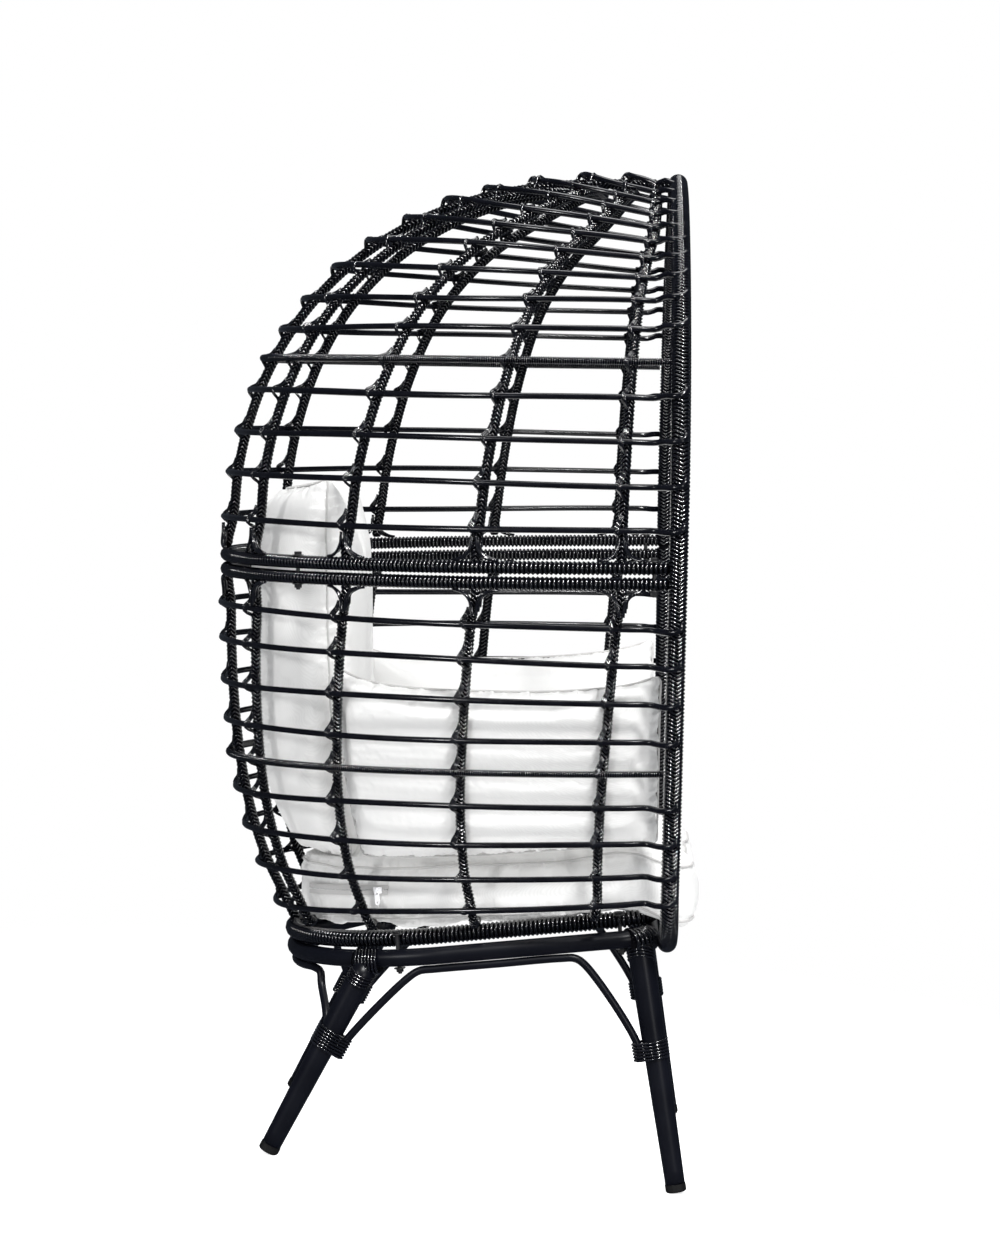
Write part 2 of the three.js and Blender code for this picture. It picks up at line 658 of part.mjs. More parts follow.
function sideCushion(x) {
  return slab((u, v, w) => {
    const phi = rad(68.5 + 23 * u) * x;
    const flat = lining(-560, phi, 60).y;
    const z = seatTop(flat) + 3 + 123 * (v + 1);
    return put(lining(z, phi, 74 + 43 * w));
  }, 8, 5);
}

// The slab's own u axis turns over with the side, which keeps its faces outwards.
add("side_cushion_right", flipped(sideCushion(-1)), CLOTH);
add("side_cushion_left", sideCushion(1), CLOTH);

function flipped(geometry) {
  const index = geometry.index.array;
  for (let i = 0; i < index.length; i += 3) {
    [index[i + 1], index[i + 2]] = [index[i + 2], index[i + 1]];
  }
  geometry.computeVertexNormals();
  return geometry;
}

function backCushion() {
  return slab((u, v, w) => {
    const z = -410 + 284 * v;
    return put(lining(z, rad(31) * u, 122 - 68 * w));
  }, 8, 8);
}

add("back_cushion", flipped(backCushion()), CLOTH);

const box = new THREE.Box3().setFromObject(chair);
const middle = box.getCenter(new THREE.Vector3());
chair.position.set(0, -middle.y, 0);

export default chair;
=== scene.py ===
import math

import bpy
import numpy as np
from mathutils import Matrix, Vector
from mathutils.kdtree import KDTree


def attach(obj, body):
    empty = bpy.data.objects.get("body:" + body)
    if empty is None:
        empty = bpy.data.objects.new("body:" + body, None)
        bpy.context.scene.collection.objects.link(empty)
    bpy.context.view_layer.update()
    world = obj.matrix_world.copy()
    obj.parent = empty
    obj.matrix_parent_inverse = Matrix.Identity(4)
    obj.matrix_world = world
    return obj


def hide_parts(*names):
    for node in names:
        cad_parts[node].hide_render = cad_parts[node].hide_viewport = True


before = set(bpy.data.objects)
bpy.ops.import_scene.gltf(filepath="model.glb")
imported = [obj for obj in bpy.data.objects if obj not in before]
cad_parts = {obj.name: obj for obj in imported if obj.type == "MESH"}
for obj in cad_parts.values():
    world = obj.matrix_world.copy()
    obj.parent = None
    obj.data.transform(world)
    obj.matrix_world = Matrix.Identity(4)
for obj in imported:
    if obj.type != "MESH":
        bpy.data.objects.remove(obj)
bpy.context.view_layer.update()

# ---- upright rods: the basket's own axes on the stand ---------------------------------
# The woven basket leans back 4.1 degrees on its level feet, so every piece of it is set
# out in the basket's axes (x across, f forward, z up, in millimetres) and then stood up.
LEAN = math.radians(4.1)
SEAT_TO_REAR, SEAT_RISE = -173.816, 1147


def stood(x, f, z):
    y = -f * math.cos(LEAN) + z * math.sin(LEAN) + SEAT_TO_REAR
    up = f * math.sin(LEAN) + z * math.cos(LEAN) + SEAT_RISE
    return np.array([x, y, up]) / 1000


# The same for a whole mesh made in the basket's axes, in metres, with Y to the rear.
RAISED = Matrix.Translation((0, SEAT_TO_REAR / 1000, SEAT_RISE / 1000)) @ Matrix.Rotation(-LEAN, 4, "X")


def alone():
    bpy.ops.object.select_all(action="DESELECT")


# A smooth line through a few points, read again at even steps.
def flowing(points, step, closed=False):
    p = [np.asarray(q, float) for q in points]
    p = [p[-1]] + p + [p[0], p[1]] if closed else [2 * p[0] - p[1]] + p + [2 * p[-1] - p[-2]]
    fine = []
    for a, b, c, d in zip(p, p[1:], p[2:], p[3:]):
        ta = max(np.linalg.norm(b - a), 1e-9) ** 0.5
        tb = ta + max(np.linalg.norm(c - b), 1e-9) ** 0.5
        tc = tb + max(np.linalg.norm(d - c), 1e-9) ** 0.5
        for t in np.linspace(ta, tb, 16, endpoint=False):
            u = a + (b - a) * (t / ta)
            v = b + (c - b) * ((t - ta) / (tb - ta))
            w = c + (d - c) * ((t - tb) / (tc - tb))
            m = u + (v - u) * (t / tb)
            n = v + (w - v) * ((t - ta) / (tc - ta))
            fine.append(m + (n - m) * ((t - ta) / (tb - ta)))
    fine.append(p[1] if closed else p[-2])
    return evened(fine, step)


def with_length(points):
    p = np.array(points)
    gone = np.concatenate([[0], np.cumsum(np.linalg.norm(np.diff(p, axis=0), axis=1))])
    return p, gone


def evened(points, step):
    p, gone = with_length(points)
    count = max(int(round(gone[-1] / step)), 2)
    spots = np.linspace(0, gone[-1], count + 1)
    return np.stack([np.interp(spots, gone, p[:, k]) for k in range(3)], axis=1)


# A curve object through a line of points, for a rod's bevel or for bending a winding.
def traced(line, closed=False):
    alone()
    bpy.ops.curve.primitive_nurbs_path_add()
    path = bpy.context.object
    path.data.splines.clear()
    spline = path.data.splines.new("POLY")
    spots = line[:-1] if closed else line
    spline.points.add(len(spots) - 1)
    flat = np.concatenate([spots, np.ones((len(spots), 1))], axis=1)
    spline.points.foreach_set("co", flat.ravel())
    spline.use_cyclic_u = closed
    spline.use_smooth = True
    path.data.twist_mode = "MINIMUM"
    return path


# The piece in hand with its double points merged and its faces turned outwards.
def cleaned(threshold):
    bpy.ops.object.mode_set(mode="EDIT")
    bpy.ops.mesh.select_all(action="SELECT")
    if threshold:
        bpy.ops.mesh.remove_doubles(threshold=threshold)
    bpy.ops.mesh.normals_make_consistent(inside=False)
    bpy.ops.object.mode_set(mode="OBJECT")


# A round rod along a line, with closed ends.
def rod(name, line, radius, closed=False, around=3, radii=None):
    path = traced(line, closed)
    path.data.bevel_depth = radius
    path.data.bevel_resolution = around
    path.data.use_fill_caps = True
    if radii is not None:
        path.data.splines[0].points.foreach_set("radius", radii)
    bpy.ops.object.convert(target="MESH")
    piece = bpy.context.object
    cleaned(0.00001)
    bpy.ops.object.shade_smooth()
    piece.name = name
    piece.data.name = name
    return piece


def joined(name, pieces):
    alone()
    for piece in pieces:
        piece.select_set(True)
    bpy.context.view_layer.objects.active = pieces[0]
    if len(pieces) > 1:
        bpy.ops.object.join()
    pieces[0].name = name
    pieces[0].data.name = name
    return pieces[0]


# A new material's node tree, its shader and a point of the piece to lay patterns on.
def blank(name):
    stuff = bpy.data.materials.new(name)
    stuff.use_nodes = True
    tree = stuff.node_tree
    place = tree.nodes.new("ShaderNodeTexCoord").outputs["Object"]
    return stuff, tree, tree.nodes["Principled BSDF"], place


def mottled(tree, place, scale, detail):
    cloud = tree.nodes.new("ShaderNodeTexNoise")
    cloud.inputs["Scale"].default_value = scale
    cloud.inputs["Detail"].default_value = detail
    tree.links.new(place, cloud.inputs["Vector"])
    return cloud.outputs["Fac"]


# A colour that runs from one tint to another as the pattern rises.
def tinted(tree, pattern, start, first, end, last):
    hue = tree.nodes.new("ShaderNodeValToRGB")
    for stop, position, tint in zip(hue.color_ramp.elements, (start, end), (first, last)):
        stop.position = position
        stop.color = (*tint, 1)
    tree.links.new(pattern, hue.inputs["Fac"])
    return hue.outputs["Color"]


def worn(tree, pattern, low, high, shader):
    rough = tree.nodes.new("ShaderNodeMapRange")
    rough.inputs["To Min"].default_value = low
    rough.inputs["To Max"].default_value = high
    tree.links.new(pattern, rough.inputs["Value"])
    tree.links.new(rough.outputs["Result"], shader.inputs["Roughness"])


def dented(tree, pattern, strength, distance, shader):
    bump = tree.nodes.new("ShaderNodeBump")
    bump.inputs["Strength"].default_value = strength
    bump.inputs["Distance"].default_value = distance
    tree.links.new(pattern, bump.inputs["Height"])
    tree.links.new(bump.outputs["Normal"], shader.inputs["Normal"])
    return bump


# Resin strand: round, extruded, glossy black with a faint draw along it and scuffs.
def resin(name, tint, gloss, grain, shine):
    stuff, tree, shader, place = blank(name)
    shader.inputs["Specular IOR Level"].default_value = shine
    shader.inputs["Coat Weight"].default_value = shine
    shader.inputs["Coat Roughness"].default_value = 0.08
    scuff = mottled(tree, place, 38, 6)
    scuffed = [2.2 * c + 0.001 for c in tint]
    tree.links.new(tinted(tree, scuff, 0.35, tint, 0.8, scuffed), shader.inputs["Base Color"])
    worn(tree, scuff, gloss - 0.06, gloss + 0.1, shader)
    dented(tree, mottled(tree, place, grain, 3), 0.16, 0.0005, shader)
    return stuff


strand_resin = resin("glossy_strand_resin", (0.0014, 0.0015, 0.0030), 0.19, 420, 0.42)
wound_resin = resin("wound_strand_resin", (0.0015, 0.0016, 0.0030), 0.14, 520, 0.9)
# The rod under the windings gets a darker, unglossy copy of the resin: painted shade, so the gaps between
# the turns read as shadow.
painted_shade_core = resin("painted_shade_rod_under_winding", (0.0010, 0.0010, 0.0016), 0.8, 520, 0.02)


def finished(piece, stuff, slot, *nodes):
    if piece.data.materials:
        piece.data.materials[0] = stuff
    else:
        piece.data.materials.append(stuff)
    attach(piece, "chair")
    if nodes:
        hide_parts(*nodes)
    return piece


# ---- shape of the woven shell ------------------------------------------------------------
# Two guiding lines carry the weave: the back profile and the front rim. Every horizontal
# strand is half an ellipse from one rim tube round the back to the other.
RIM_AT = math.radians(95)


def along(guide, s):
    p, gone = guide
    return np.array([np.interp(s, gone, p[:, k]) for k in range(3)])


def back_profile(z0, height, power, reach, past=1.0):
    t = np.linspace(0, math.pi / 2 * past, 900)
    bend = lambda v: np.sign(v) * np.abs(v) ** (2 / power)
    return with_length(np.stack([0 * t, 5 - reach * bend(np.cos(t)), z0 + height * bend(np.sin(t))], 1))


def rim_forward(z):
    return 101.3 + (z + 721) * 0.01418


def rim_half_width(z):
    drop = np.clip((-150 - z) / 665, 0, 1)
    return 430 * (1 - 0.38 * drop**1.15) * np.sqrt(1 - drop**30)


def rim_up():
    side = np.linspace(-250, -150, 60, endpoint=False)
    low = np.stack([rim_half_width(side), rim_forward(side), side], 1)
    t = np.linspace(0, math.pi / 2, 500)
    z = -150 + 466 * np.sin(t)
    high = np.stack([430 * np.clip(np.cos(t), 0, 1) ** 1.36, rim_forward(z), z], 1)
    return np.concatenate([low, high])


def rim_down():
    turn = np.linspace(math.asin(0.8**15), math.pi / 2, 700)
    drop = np.concatenate([np.linspace(100 / 665, 0.8, 200, endpoint=False), np.sin(turn) ** (1 / 15)])
    z = -150 - 665 * drop
    return np.stack([rim_half_width(z), rim_forward(z), z], 1)


GUIDES = {
    True: (back_profile(-241, 577, 2.23, 583, 95 / 80), with_length(rim_up())),
    False: (back_profile(-262, -714, 3, 586.5), with_length(rim_down())),
}


# Where the hand-laid courses stand, as lengths up or down the back and along the rim.
UPPER_BACK = [0, 59, 128, 193, 257, 309, 362, 419, 486, 553, 621, 687, 752, 824, 899, 967, 1040]
UPPER_RIM = [7, 63, 125, 188, 254, 310, 366, 419, 463, 505, 543, 581, 620, 660, 702, 744, 785.4]
LOWER_BACK = [0, 50, 103, 165, 227, 279, 331, 392, 455, 520, 585]
LOWER_RIM = [26, 80, 134, 190, 246, 293, 345, 400, 450, 492, 534]


def read(lengths, q):
    i = min(max(math.floor(q), 0), len(lengths) - 2)
    return lengths[i] + (lengths[i + 1] - lengths[i]) * (q - i)


def shell(upper, q, phi):
    back = along(GUIDES[upper][0], max(read(UPPER_BACK if upper else LOWER_BACK, q), 0))
    rim = along(GUIDES[upper][1], read(UPPER_RIM if upper else LOWER_RIM, q))
    over = -math.cos(RIM_AT)
    middle = (np.array([0, rim[1], rim[2]]) + over * back) / (1 + over)
    spot = middle + (back - middle) * math.cos(phi)
    spot[0] = rim[0] / math.sin(RIM_AT) * math.sin(phi)
    return spot


def inside(upper, q, phi, depth):
    here = shell(upper, q, phi)
    dq = shell(upper, q + 0.02, phi) - shell(upper, q - 0.02, phi)
    dphi = shell(upper, q, phi + 0.01) - shell(upper, q, phi - 0.01)
    normal = np.cross(dq, dphi)
    normal /= np.linalg.norm(normal)
    if np.dot(here - np.array([0, -60, -250]), normal) < 0:
        normal = -normal
    return here - normal * depth


# ---- horizontal strands ------------------------------------------------------------------
# One 8 mm strand of solid resin to each course, laid outside the ribs by hand, so it runs
# a little uneven. Its ends pass over the rim's side and are hooked up under the winding.
def strand_line(upper, q, depth, end, sway=1.0):
    rim_step = np.linalg.norm(shell(upper, q, RIM_AT) - shell(upper, q, RIM_AT - 0.01)) / 0.01
    last = RIM_AT - end / rim_step
    line = []
    for phi in np.linspace(-last, last, 61):
        p = inside(upper, q, phi, depth)
        calm = 1 - (abs(phi) / last) ** 6
        p[2] += sway * calm * (1.3 * math.sin(2.7 * phi + 1.9 * q) + 0.8 * math.sin(6.1 * phi + 4.3 * q))
        line.append(p)
    return line


# A hooked end about the rim's middle line: on past it, out to its side and up along it.
HOOK = ((-22, 2.5, 0), (-13, 11.5, 0), (-4, 15.6, 0.6), (3.5, 15.6, 3.5), (7.5, 14.0, 8.5), (7.0, 10.5, 14))
STRAND_IN = 7.6


def hooked(upper, q):
    line = strand_line(upper, q, STRAND_IN, 34)
    ends = []
    for tip, near in ((line[0], line[1]), (line[-1], line[-2])):
        side = np.sign(tip[0])
        rim = shell(upper, q, side * RIM_AT)
        along_rim = shell(upper, q + 0.3, side * RIM_AT) - shell(upper, q - 0.3, side * RIM_AT)
        up = along_rim / np.linalg.norm(along_rim) * np.sign(along_rim[2])
        over = np.array([side, 0, 0])
        ahead = (tip - near) - np.dot(tip - near, over) * over
        ahead /= np.linalg.norm(ahead)
        ends.append([rim + a * ahead + o * over + u * up for a, o, u in HOOK])
    return ends[0][::-1] + line + ends[1]


for upper, label, count in ((True, "upper", 14), (False, "lower", 8)):
    for n in range(1, count + 1):
        q = n if n < 5 else n + 1
        line = flowing([stood(*p) for p in hooked(upper, q)], 0.008)
        strand = rod(f"{label}_horizontal_strand_{n:02d}", line, 0.0044)
        finished(strand, strand_resin, "wicker", f"{label}_strand_{n:02d}")

# ---- wound rings: stiffeners and the two joint rings ----------------------------------------
# Steel rod wound close with thin strand. Each turn is one flat loop of strand, laid side
# by side along the rod and bent with it.
# A plait is given as its number of columns round the rod and the slant across each.
CORE_IN = 1.35


def wound(name, line, radius, strand, pitch, tilt=0.0, closed=False, flat=1.0, parts=(12, 5), plait=(0, 0)):
    core = rod(name + "_core", line, radius - CORE_IN * strand, closed, 2)
    guide = traced(line, closed)
    length = with_length(line)[1][-1]
    turns = int(length / pitch)
    alone()
    bpy.ops.mesh.primitive_torus_add(
        major_segments=parts[0],
        minor_segments=parts[1],
        major_radius=radius - strand,
        minor_radius=strand,
        rotation=(0, math.pi / 2, 0),
    )
    loop = bpy.context.object
    bpy.ops.object.transform_apply(location=False, rotation=True, scale=False)
    loop.scale = (flat, 1, 1)
    bpy.ops.object.transform_apply(location=False, rotation=False, scale=True)
    columns, slant = plait
    for corner in loop.data.vertices:
        corner.co.x += math.tan(tilt) * corner.co.y + pitch / 2
        if columns:
            turn = math.atan2(corner.co.z, corner.co.y) / (2 * math.pi) * columns / 2
            corner.co.x += slant * abs(2 * (turn % 1) - 1)
    row = loop.modifiers.new("turns", "ARRAY")
    row.use_relative_offset = False
    row.use_constant_offset = True
    row.constant_offset_displace = (length / turns, 0, 0)
    row.count = turns
    bend = loop.modifiers.new("bend", "CURVE")
    bend.object = guide
    bpy.ops.object.modifier_apply(modifier="turns")
    bpy.ops.object.modifier_apply(modifier="bend")
    bpy.ops.object.shade_smooth()
    bpy.data.objects.remove(guide)
    loop.data.materials.append(wound_resin)
    # the core takes the painted-shade resin, so the gaps between turns read dark
    core.data.materials.append(painted_shade_core)
    return joined(name, [loop, core])


for upper, label in ((True, "upper"), (False, "lower")):
    line = flowing([stood(*p) for p in strand_line(upper, 5, 6.5, 14.5, 0.3)], 0.006)
    ring = wound(f"{label}_wound_stiffener", line, 0.0056, 0.0013, 0.0033)
    finished(ring, wound_resin, "wicker", f"{label}_stiffener_ring")


def joint_spot(up, phi):
    z = -250 + up * 11.1
    over = -math.cos(RIM_AT)
    back = -564.5
    middle = (rim_forward(z) + over * back) / (1 + over)
    t = min(max((abs(phi) - math.pi / 2) / (RIM_AT - math.pi / 2), 0), 1)
    half = rim_half_width(z) / math.sin(RIM_AT) - 12 + 9 * t * t * (3 - 2 * t)
    return np.array([half * math.sin(phi), middle + (back - middle) * math.cos(phi), z])


for up, label in ((1, "upper"), (-1, "lower")):
    spots = [stood(*joint_spot(up, phi)) for phi in np.linspace(-RIM_AT, RIM_AT, 81)]
    line = evened(spots, 0.006)[2:-2]
    ring = wound(f"{label}_wound_joint_ring", line, 0.0100, 0.0022, 0.0064, math.radians(12), flat=1.05)
    finished(ring, wound_resin, "wicker", f"{label}_joint_ring")

# ---- front rim ------------------------------------------------------------------------------
# The heaviest tube of each half shell, covered by a plait of strand laid close over it; the
# two halves end against each other at the joint.
for upper, label, half in ((True, "upper", rim_up()), (False, "lower", rim_down())):
    whole = np.concatenate([half, (half * [-1, 1, 1])[-2::-1]])
    line = evened([stood(*p) for p in whole], 0.006)
    plait = (6, 0.0062)
    rim = wound(f"{label}_plaited_rim", line, 0.0140, 0.0023, 0.0057, flat=0.95, parts=(24, 6), plait=plait)
    finished(rim, wound_resin, "wicker", f"{label}_rim_tube")

# ---- ribs -----------------------------------------------------------------------------------
# Steel rod under a steep plait of strand. At every course a bundle of the plait's cords
# comes over the horizontal strand and binds it to the rib.
RIBS = ((26, 0, -0.55, -40), (48, 0.45, -0.65, 5), (68.5, 0.4, -0.5, 55), (87.8, 0.1, -0.4, 90))
RIB_IN = 20.6


def top_course(forward):
    low, high = 5.0, 16.0
    for _ in range(40):
        q = (low + high) / 2
        if shell(True, q, 0)[1] < forward:
            low = q
        else:
            high = q
    return low


TOPS = [top_course(rib[3]) for rib in RIBS]


def rib_angle(upper, i, q):
    angle, up, down, top = RIBS[i]
    if not upper:
        return math.radians(angle + down * q)
    if q <= 11:
        return math.radians(angle + up * q)
    if q >= TOPS[i]:
        return 0.0
    start = shell(True, 11, rib_angle(True, i, 11))
    low, high = 0.0, RIM_AT
    for _ in range(36):
        phi = (low + high) / 2
        here = shell(True, q, phi)
        if here[1] < top + (start[1] - top) * (here[0] / start[0]) ** 2:
            low = phi
        else:
            high = phi
    return low


def seat(up, phi, rise=0.0):
    p = joint_spot(up, phi)
    p[2] += up * (10.4 + rise)
    return p


def both_sides(half):
    return half + [p * [-1, 1, 1] for p in half[-2::-1]]


def under(x):
    return 16.6 * math.exp(-((x / 45) ** 2))


# A rod with its cover: the strands run steeply along it and turn back at each column.
def plaited(name, line, radius=0.0079):
    return wound(name, line, radius, 0.0018, 0.0060, flat=1.0, parts=(12, 5), plait=(6, 0.0060))


# At each crossing three cords of the cover leave the rib, come over the strand on its rear
# side and go back round the rib. The bundle is made once, along x up the rib, y out of the
# shell and z to the rear, and copied to every crossing.
BUNDLE = (
    (21, -6.6, 0.5, 1.5),
    (15, -5.4, 2.2, 1.7),
    (10, -3.6, 4.8, 1.9),
    (5.5, 0.8, 7.2, 2.1),
    (1.5, 4.4, 8.2, 2.1),
    (-3, 4.0, 8.2, 2.1),
    (-6.5, -0.8, 7.2, 2.0),
    (-9, -5.2, 5.4, 1.9),
    (-12, -7.4, 3.4, 1.7),
    (-16, -8.0, 1.2, 1.5),
)
cords = []
for side in (-1, 0, 1):
    spots = []
    for t, n, back, spread in BUNDLE:
        lift = -0.7 if side else 0.25
        spots.append(np.array([t + 1.6 * side, n + lift, back + side * spread]) / 1000)
    cords.append(rod("bundle", flowing(spots, 0.004), 0.0017, around=1))
bundle = joined("bundle", cords)
bundle.data.materials.append(wound_resin)


def bound(upper, crossings):
    made = []
    for q, phi in crossings:
        strand = inside(upper, q, phi, STRAND_IN)
        rib = inside(upper, q, phi, RIB_IN)
        out = (strand - rib) / np.linalg.norm(strand - rib)
        across = shell(upper, q, phi + 0.02) - shell(upper, q, phi - 0.02)
        across *= -1 if phi > 0.01 else 1
        rear = across - np.dot(across, out) * out
        rear /= np.linalg.norm(rear)
        rise = np.cross(out, rear)
        rise *= np.sign(rise[2]) if abs(rise[2]) > 0.2 else np.sign(rise[1])
        short = 0.55 if not upper and q > 7 else 1.0
        frame_in = np.eye(4)
        for k, axis in enumerate((rise * short, out, rear)):
            frame_in[:3, k] = axis * [1, -1, 1]
        frame_in[:3, 3] = strand * [1, -1, 1] / 1000
        turn = Matrix(frame_in.tolist())
        copy = bundle.copy()
        copy.data = bundle.data.copy()
        bpy.context.collection.objects.link(copy)
        copy.data.transform(RAISED @ turn)
        if turn.determinant() < 0:
            copy.data.flip_normals()
        made.append(copy)
    return made


def arch_half(i):
    angle = math.radians(RIBS[i][0])
    half = [seat(1, angle), seat(1, angle, 9)]
    whole = list(range(1, math.ceil(TOPS[i] - 0.1)))
    for q in whole + [(whole[-1] + 2 * TOPS[i]) / 3]:
        phi = rib_angle(True, i, q)
        dip = under(shell(True, q, phi)[0])
        half.append(inside(True, q, phi, RIB_IN + dip + (0 if q > 1 else 0.8)))
    half.append(inside(True, TOPS[i], 0, RIB_IN + 16.6) * [0, 1, 1])
    return half


for i in range(4):
    line = flowing([stood(*p) for p in both_sides(arch_half(i))], 0.006)
    rib = plaited(f"upper_plaited_rib_{i + 1}", line)
    courses = [q for q in range(1, 16) if q < TOPS[i] - 0.4]
    pairs = [(q, s * rib_angle(True, i, q)) for q in courses for s in (-1, 1)]
    rib = joined(rib.name, [rib] + bound(True, pairs))
    finished(rib, wound_resin, "wicker", f"upper_rib_arch_{i + 1}")

spine = [seat(1, 0), seat(1, 0, 9)] + [inside(True, q, 0, RIB_IN) for q in range(1, 16)]
spine.append(np.array([0, rim_forward(316) - 15.5, 311]))
rib = plaited("upper_plaited_back_rib", flowing([stood(*p) for p in spine], 0.006))
rib = joined(rib.name, [rib] + bound(True, [(q, 0) for q in range(1, 16)]))
finished(rib, wound_resin, "wicker", "upper_back_rib")

# The lower ribs turn in at the foot of the shell and cross under the seat.
SLOPE = math.tan(math.radians(5.3))


def ring_height(f, lift=0.0):
    return -813 + (f + 466) * SLOPE + lift


def hoop_half(i):
    angle = math.radians(RIBS[i][0])
    half = [seat(-1, angle), seat(-1, angle, 9)]
    for q in range(1, 10):
        clear = 0 if 1 < q < 9 else 1.2
        half.append(inside(False, q, rib_angle(False, i, q), RIB_IN + clear))
    x, g, z = half[-1]
    f = 50 - 516 * math.cos(rib_angle(False, i, 10))
    floor = ring_height(f, 18.3)
    half.append(np.array([x - 4, g * 0.4 + f * 0.6, z + (floor - z) * 0.62]))
    half.append(np.array([x - 14, f, floor + 2]))
    half.append(np.array([x - 34, f, floor]))
    half.append(np.array([(x - 34) / 2, f, floor]))
    half.append(np.array([0, f, floor]))
    return half


for i in range(4):
    line = flowing([stood(*p) for p in both_sides(hoop_half(i))], 0.006)
    rib = plaited(f"lower_plaited_rib_{i + 1}", line)
    pairs = [(q, s * rib_angle(False, i, q)) for q in range(1, 10) for s in (-1, 1)]
    rib = joined(rib.name, [rib] + bound(False, pairs))
    finished(rib, wound_resin, "wicker", f"lower_rib_hoop_{i + 1}")

spine = [seat(-1, 0), seat(-1, 0, 9)] + [inside(False, q, 0, RIB_IN) for q in range(1, 10)]
spine.append(np.array([0, -463, -800.7]))
rib = plaited("lower_plaited_back_rib", flowing([stood(*p) for p in spine], 0.006))
rib = joined(rib.name, [rib] + bound(False, [(q, 0) for q in range(1, 10)]))
finished(rib, wound_resin, "wicker", "lower_back_rib")
bpy.data.objects.remove(bundle)

# ---- rib feet -------------------------------------------------------------------------------
# Where a rib stands on a joint ring its cords spread to both sides and lie along the ring,
# three to a side, and fill the corner.
cords = []
for side in (-1, 1):
    for t0, s0, n0 in ((46, 3.0, 6.8), (40, 5.6, 5.0), (34, 7.2, 1.8)):
        spots = [(t0, s0, n0), (t0 * 0.68, s0 + 1.2, n0 + 0.4), (t0 * 0.36 + 6, s0 + 4.6, n0 + 1.0)]
        spots += [(15, s0 + 10.5, n0 + 0.6), (11.6, s0 + 18, n0 * 0.8), (10, s0 + 27, n0 * 0.5)]
        spots = [np.array([t, n, side * s]) / 1000 for t, s, n in spots]
        cords.append(rod("foot", flowing(spots, 0.004), 0.0022, around=1))
foot = joined("foot", cords)


def footed(centre, rise, out):
    rise = rise / np.linalg.norm(rise)
    out = out - np.dot(out, rise) * rise
    out /= np.linalg.norm(out)
    turn = np.eye(4)
    for k, axis in enumerate((rise, out, np.cross(rise, out))):
        turn[:3, k] = axis * [1, -1, 1]
    turn[:3, 3] = centre * [1, -1, 1] / 1000
    copy = foot.copy()
    copy.data = foot.data.copy()
    bpy.context.collection.objects.link(copy)
    turn = Matrix(turn.tolist())
    copy.data.transform(RAISED @ turn)
    if turn.determinant() < 0:
        copy.data.flip_normals()
    return copy


for up, label in ((1, "upper"), (-1, "lower")):
    feet = []
    for phi in [0.0] + [s * math.radians(rib[0]) for rib in RIBS for s in (-1, 1)]:
        centre = joint_spot(up, phi)
        out = np.array([math.sin(phi) * 1.2, -math.cos(phi), 0])
        feet.append(footed(centre, np.array([0, 0, float(up)]), out))
    spread = joined(f"{label}_rib_feet", feet)
    alone()
    spread.select_set(True)
    bpy.ops.object.shade_smooth()
    finished(spread, wound_resin, "wicker")
bpy.data.objects.remove(foot)

# ---- base ring and the stand's ring ---------------------------------------------------------
# The ribs end on a wound ring; under it lies the stand's own ring, a bent steel tube in
# smooth black powder coat, with four bolts through both.
def ring_plan(half, back, arc, front, corner):
    right = [(half, f) for f in np.linspace(arc, front - corner, 12, endpoint=False)]
    turn = np.linspace(0, math.pi / 2, 10)
    bend = [(half - corner + corner * math.cos(t), front - corner + corner * math.sin(t)) for t in turn]
    across = [(x, front) for x in np.linspace(half - corner, 0, 10)][1:]
    fore = right + bend + across
    fore = fore + [(-x, f) for x, f in fore[-2::-1]]
    sweep = np.linspace(0, math.pi, 60)[1:-1]
    rear = [(-half * math.cos(t), arc - (arc - back) * math.sin(t)) for t in sweep]
    return fore + rear


def ring_line(plan, drop):
    spots = [stood(x, f, ring_height(f, -drop)) for x, f in plan]
    return evened(spots + spots[:1], 0.006)


base_line = ring_line(ring_plan(206, -466, -230, 77, 45), -3.6)
base = wound("wound_base_ring", base_line, 0.0131, 0.0023, 0.0064, math.radians(10), closed=True, flat=1.05)
finished(base, wound_resin, "wicker", "base_ring")


# Powder coat: semi-gloss black over steel, with a fine orange peel and soft wear.
def coated(name, tint, gloss, peel, shine=0.5):
    stuff, tree, shader, place = blank(name)
    shader.inputs["Specular IOR Level"].default_value = shine
    haze = mottled(tree, place, 14, 5)
    hazy = [1.7 * c + 0.0006 for c in tint]
    tree.links.new(tinted(tree, haze, 0.3, tint, 0.8, hazy), shader.inputs["Base Color"])
    worn(tree, haze, gloss - 0.05, gloss + 0.08, shader)
    dented(tree, mottled(tree, place, peel, 2), 0.12, 0.0004, shader)
    return stuff


coat = coated("black_powder_coat", (0.0022, 0.0026, 0.0052), 0.34, 700, 0.28)
STAND_PLAN = (222, -463, -230, 74, 42)
tube = rod("stand_ring_tube", ring_line(ring_plan(*STAND_PLAN), 23.3), 0.013, True, 6)
finished(tube, coat, "steel", "stand_ring")

# ---- legs -------------------------------------------------------------------------------------
# Tapered steel tubes welded under the ring, each in a black plastic cap.
LEGS = {
    "rear_right": (-198, -335, -203.5, -489),
    "rear_left": (198, -335, 203.5, -489),
    "front_right": (-213, 58, -242.5, 114),
    "front_left": (213, 58, 242.5, 114),
}


def leg_axis(x0, f0, x1, f1):
    top = stood(x0, f0, ring_height(f0, -23.3))
    low = stood(x1, f1, -(SEAT_RISE + f1 * math.sin(LEAN)) / math.cos(LEAN))
    up = (top - low) / np.linalg.norm(top - low)
    lean = math.acos(up[2])
    height = 11.5 * math.sin(lean) + 3 * (1 - math.cos(lean)) - 1.2
    return top, low + up * height / up[2] / 1000


AXES = {name: leg_axis(*spec) for name, spec in LEGS.items()}
rubber = coated("foot_cap_plastic", (0.004, 0.004, 0.0044), 0.5, 900, 0.35)

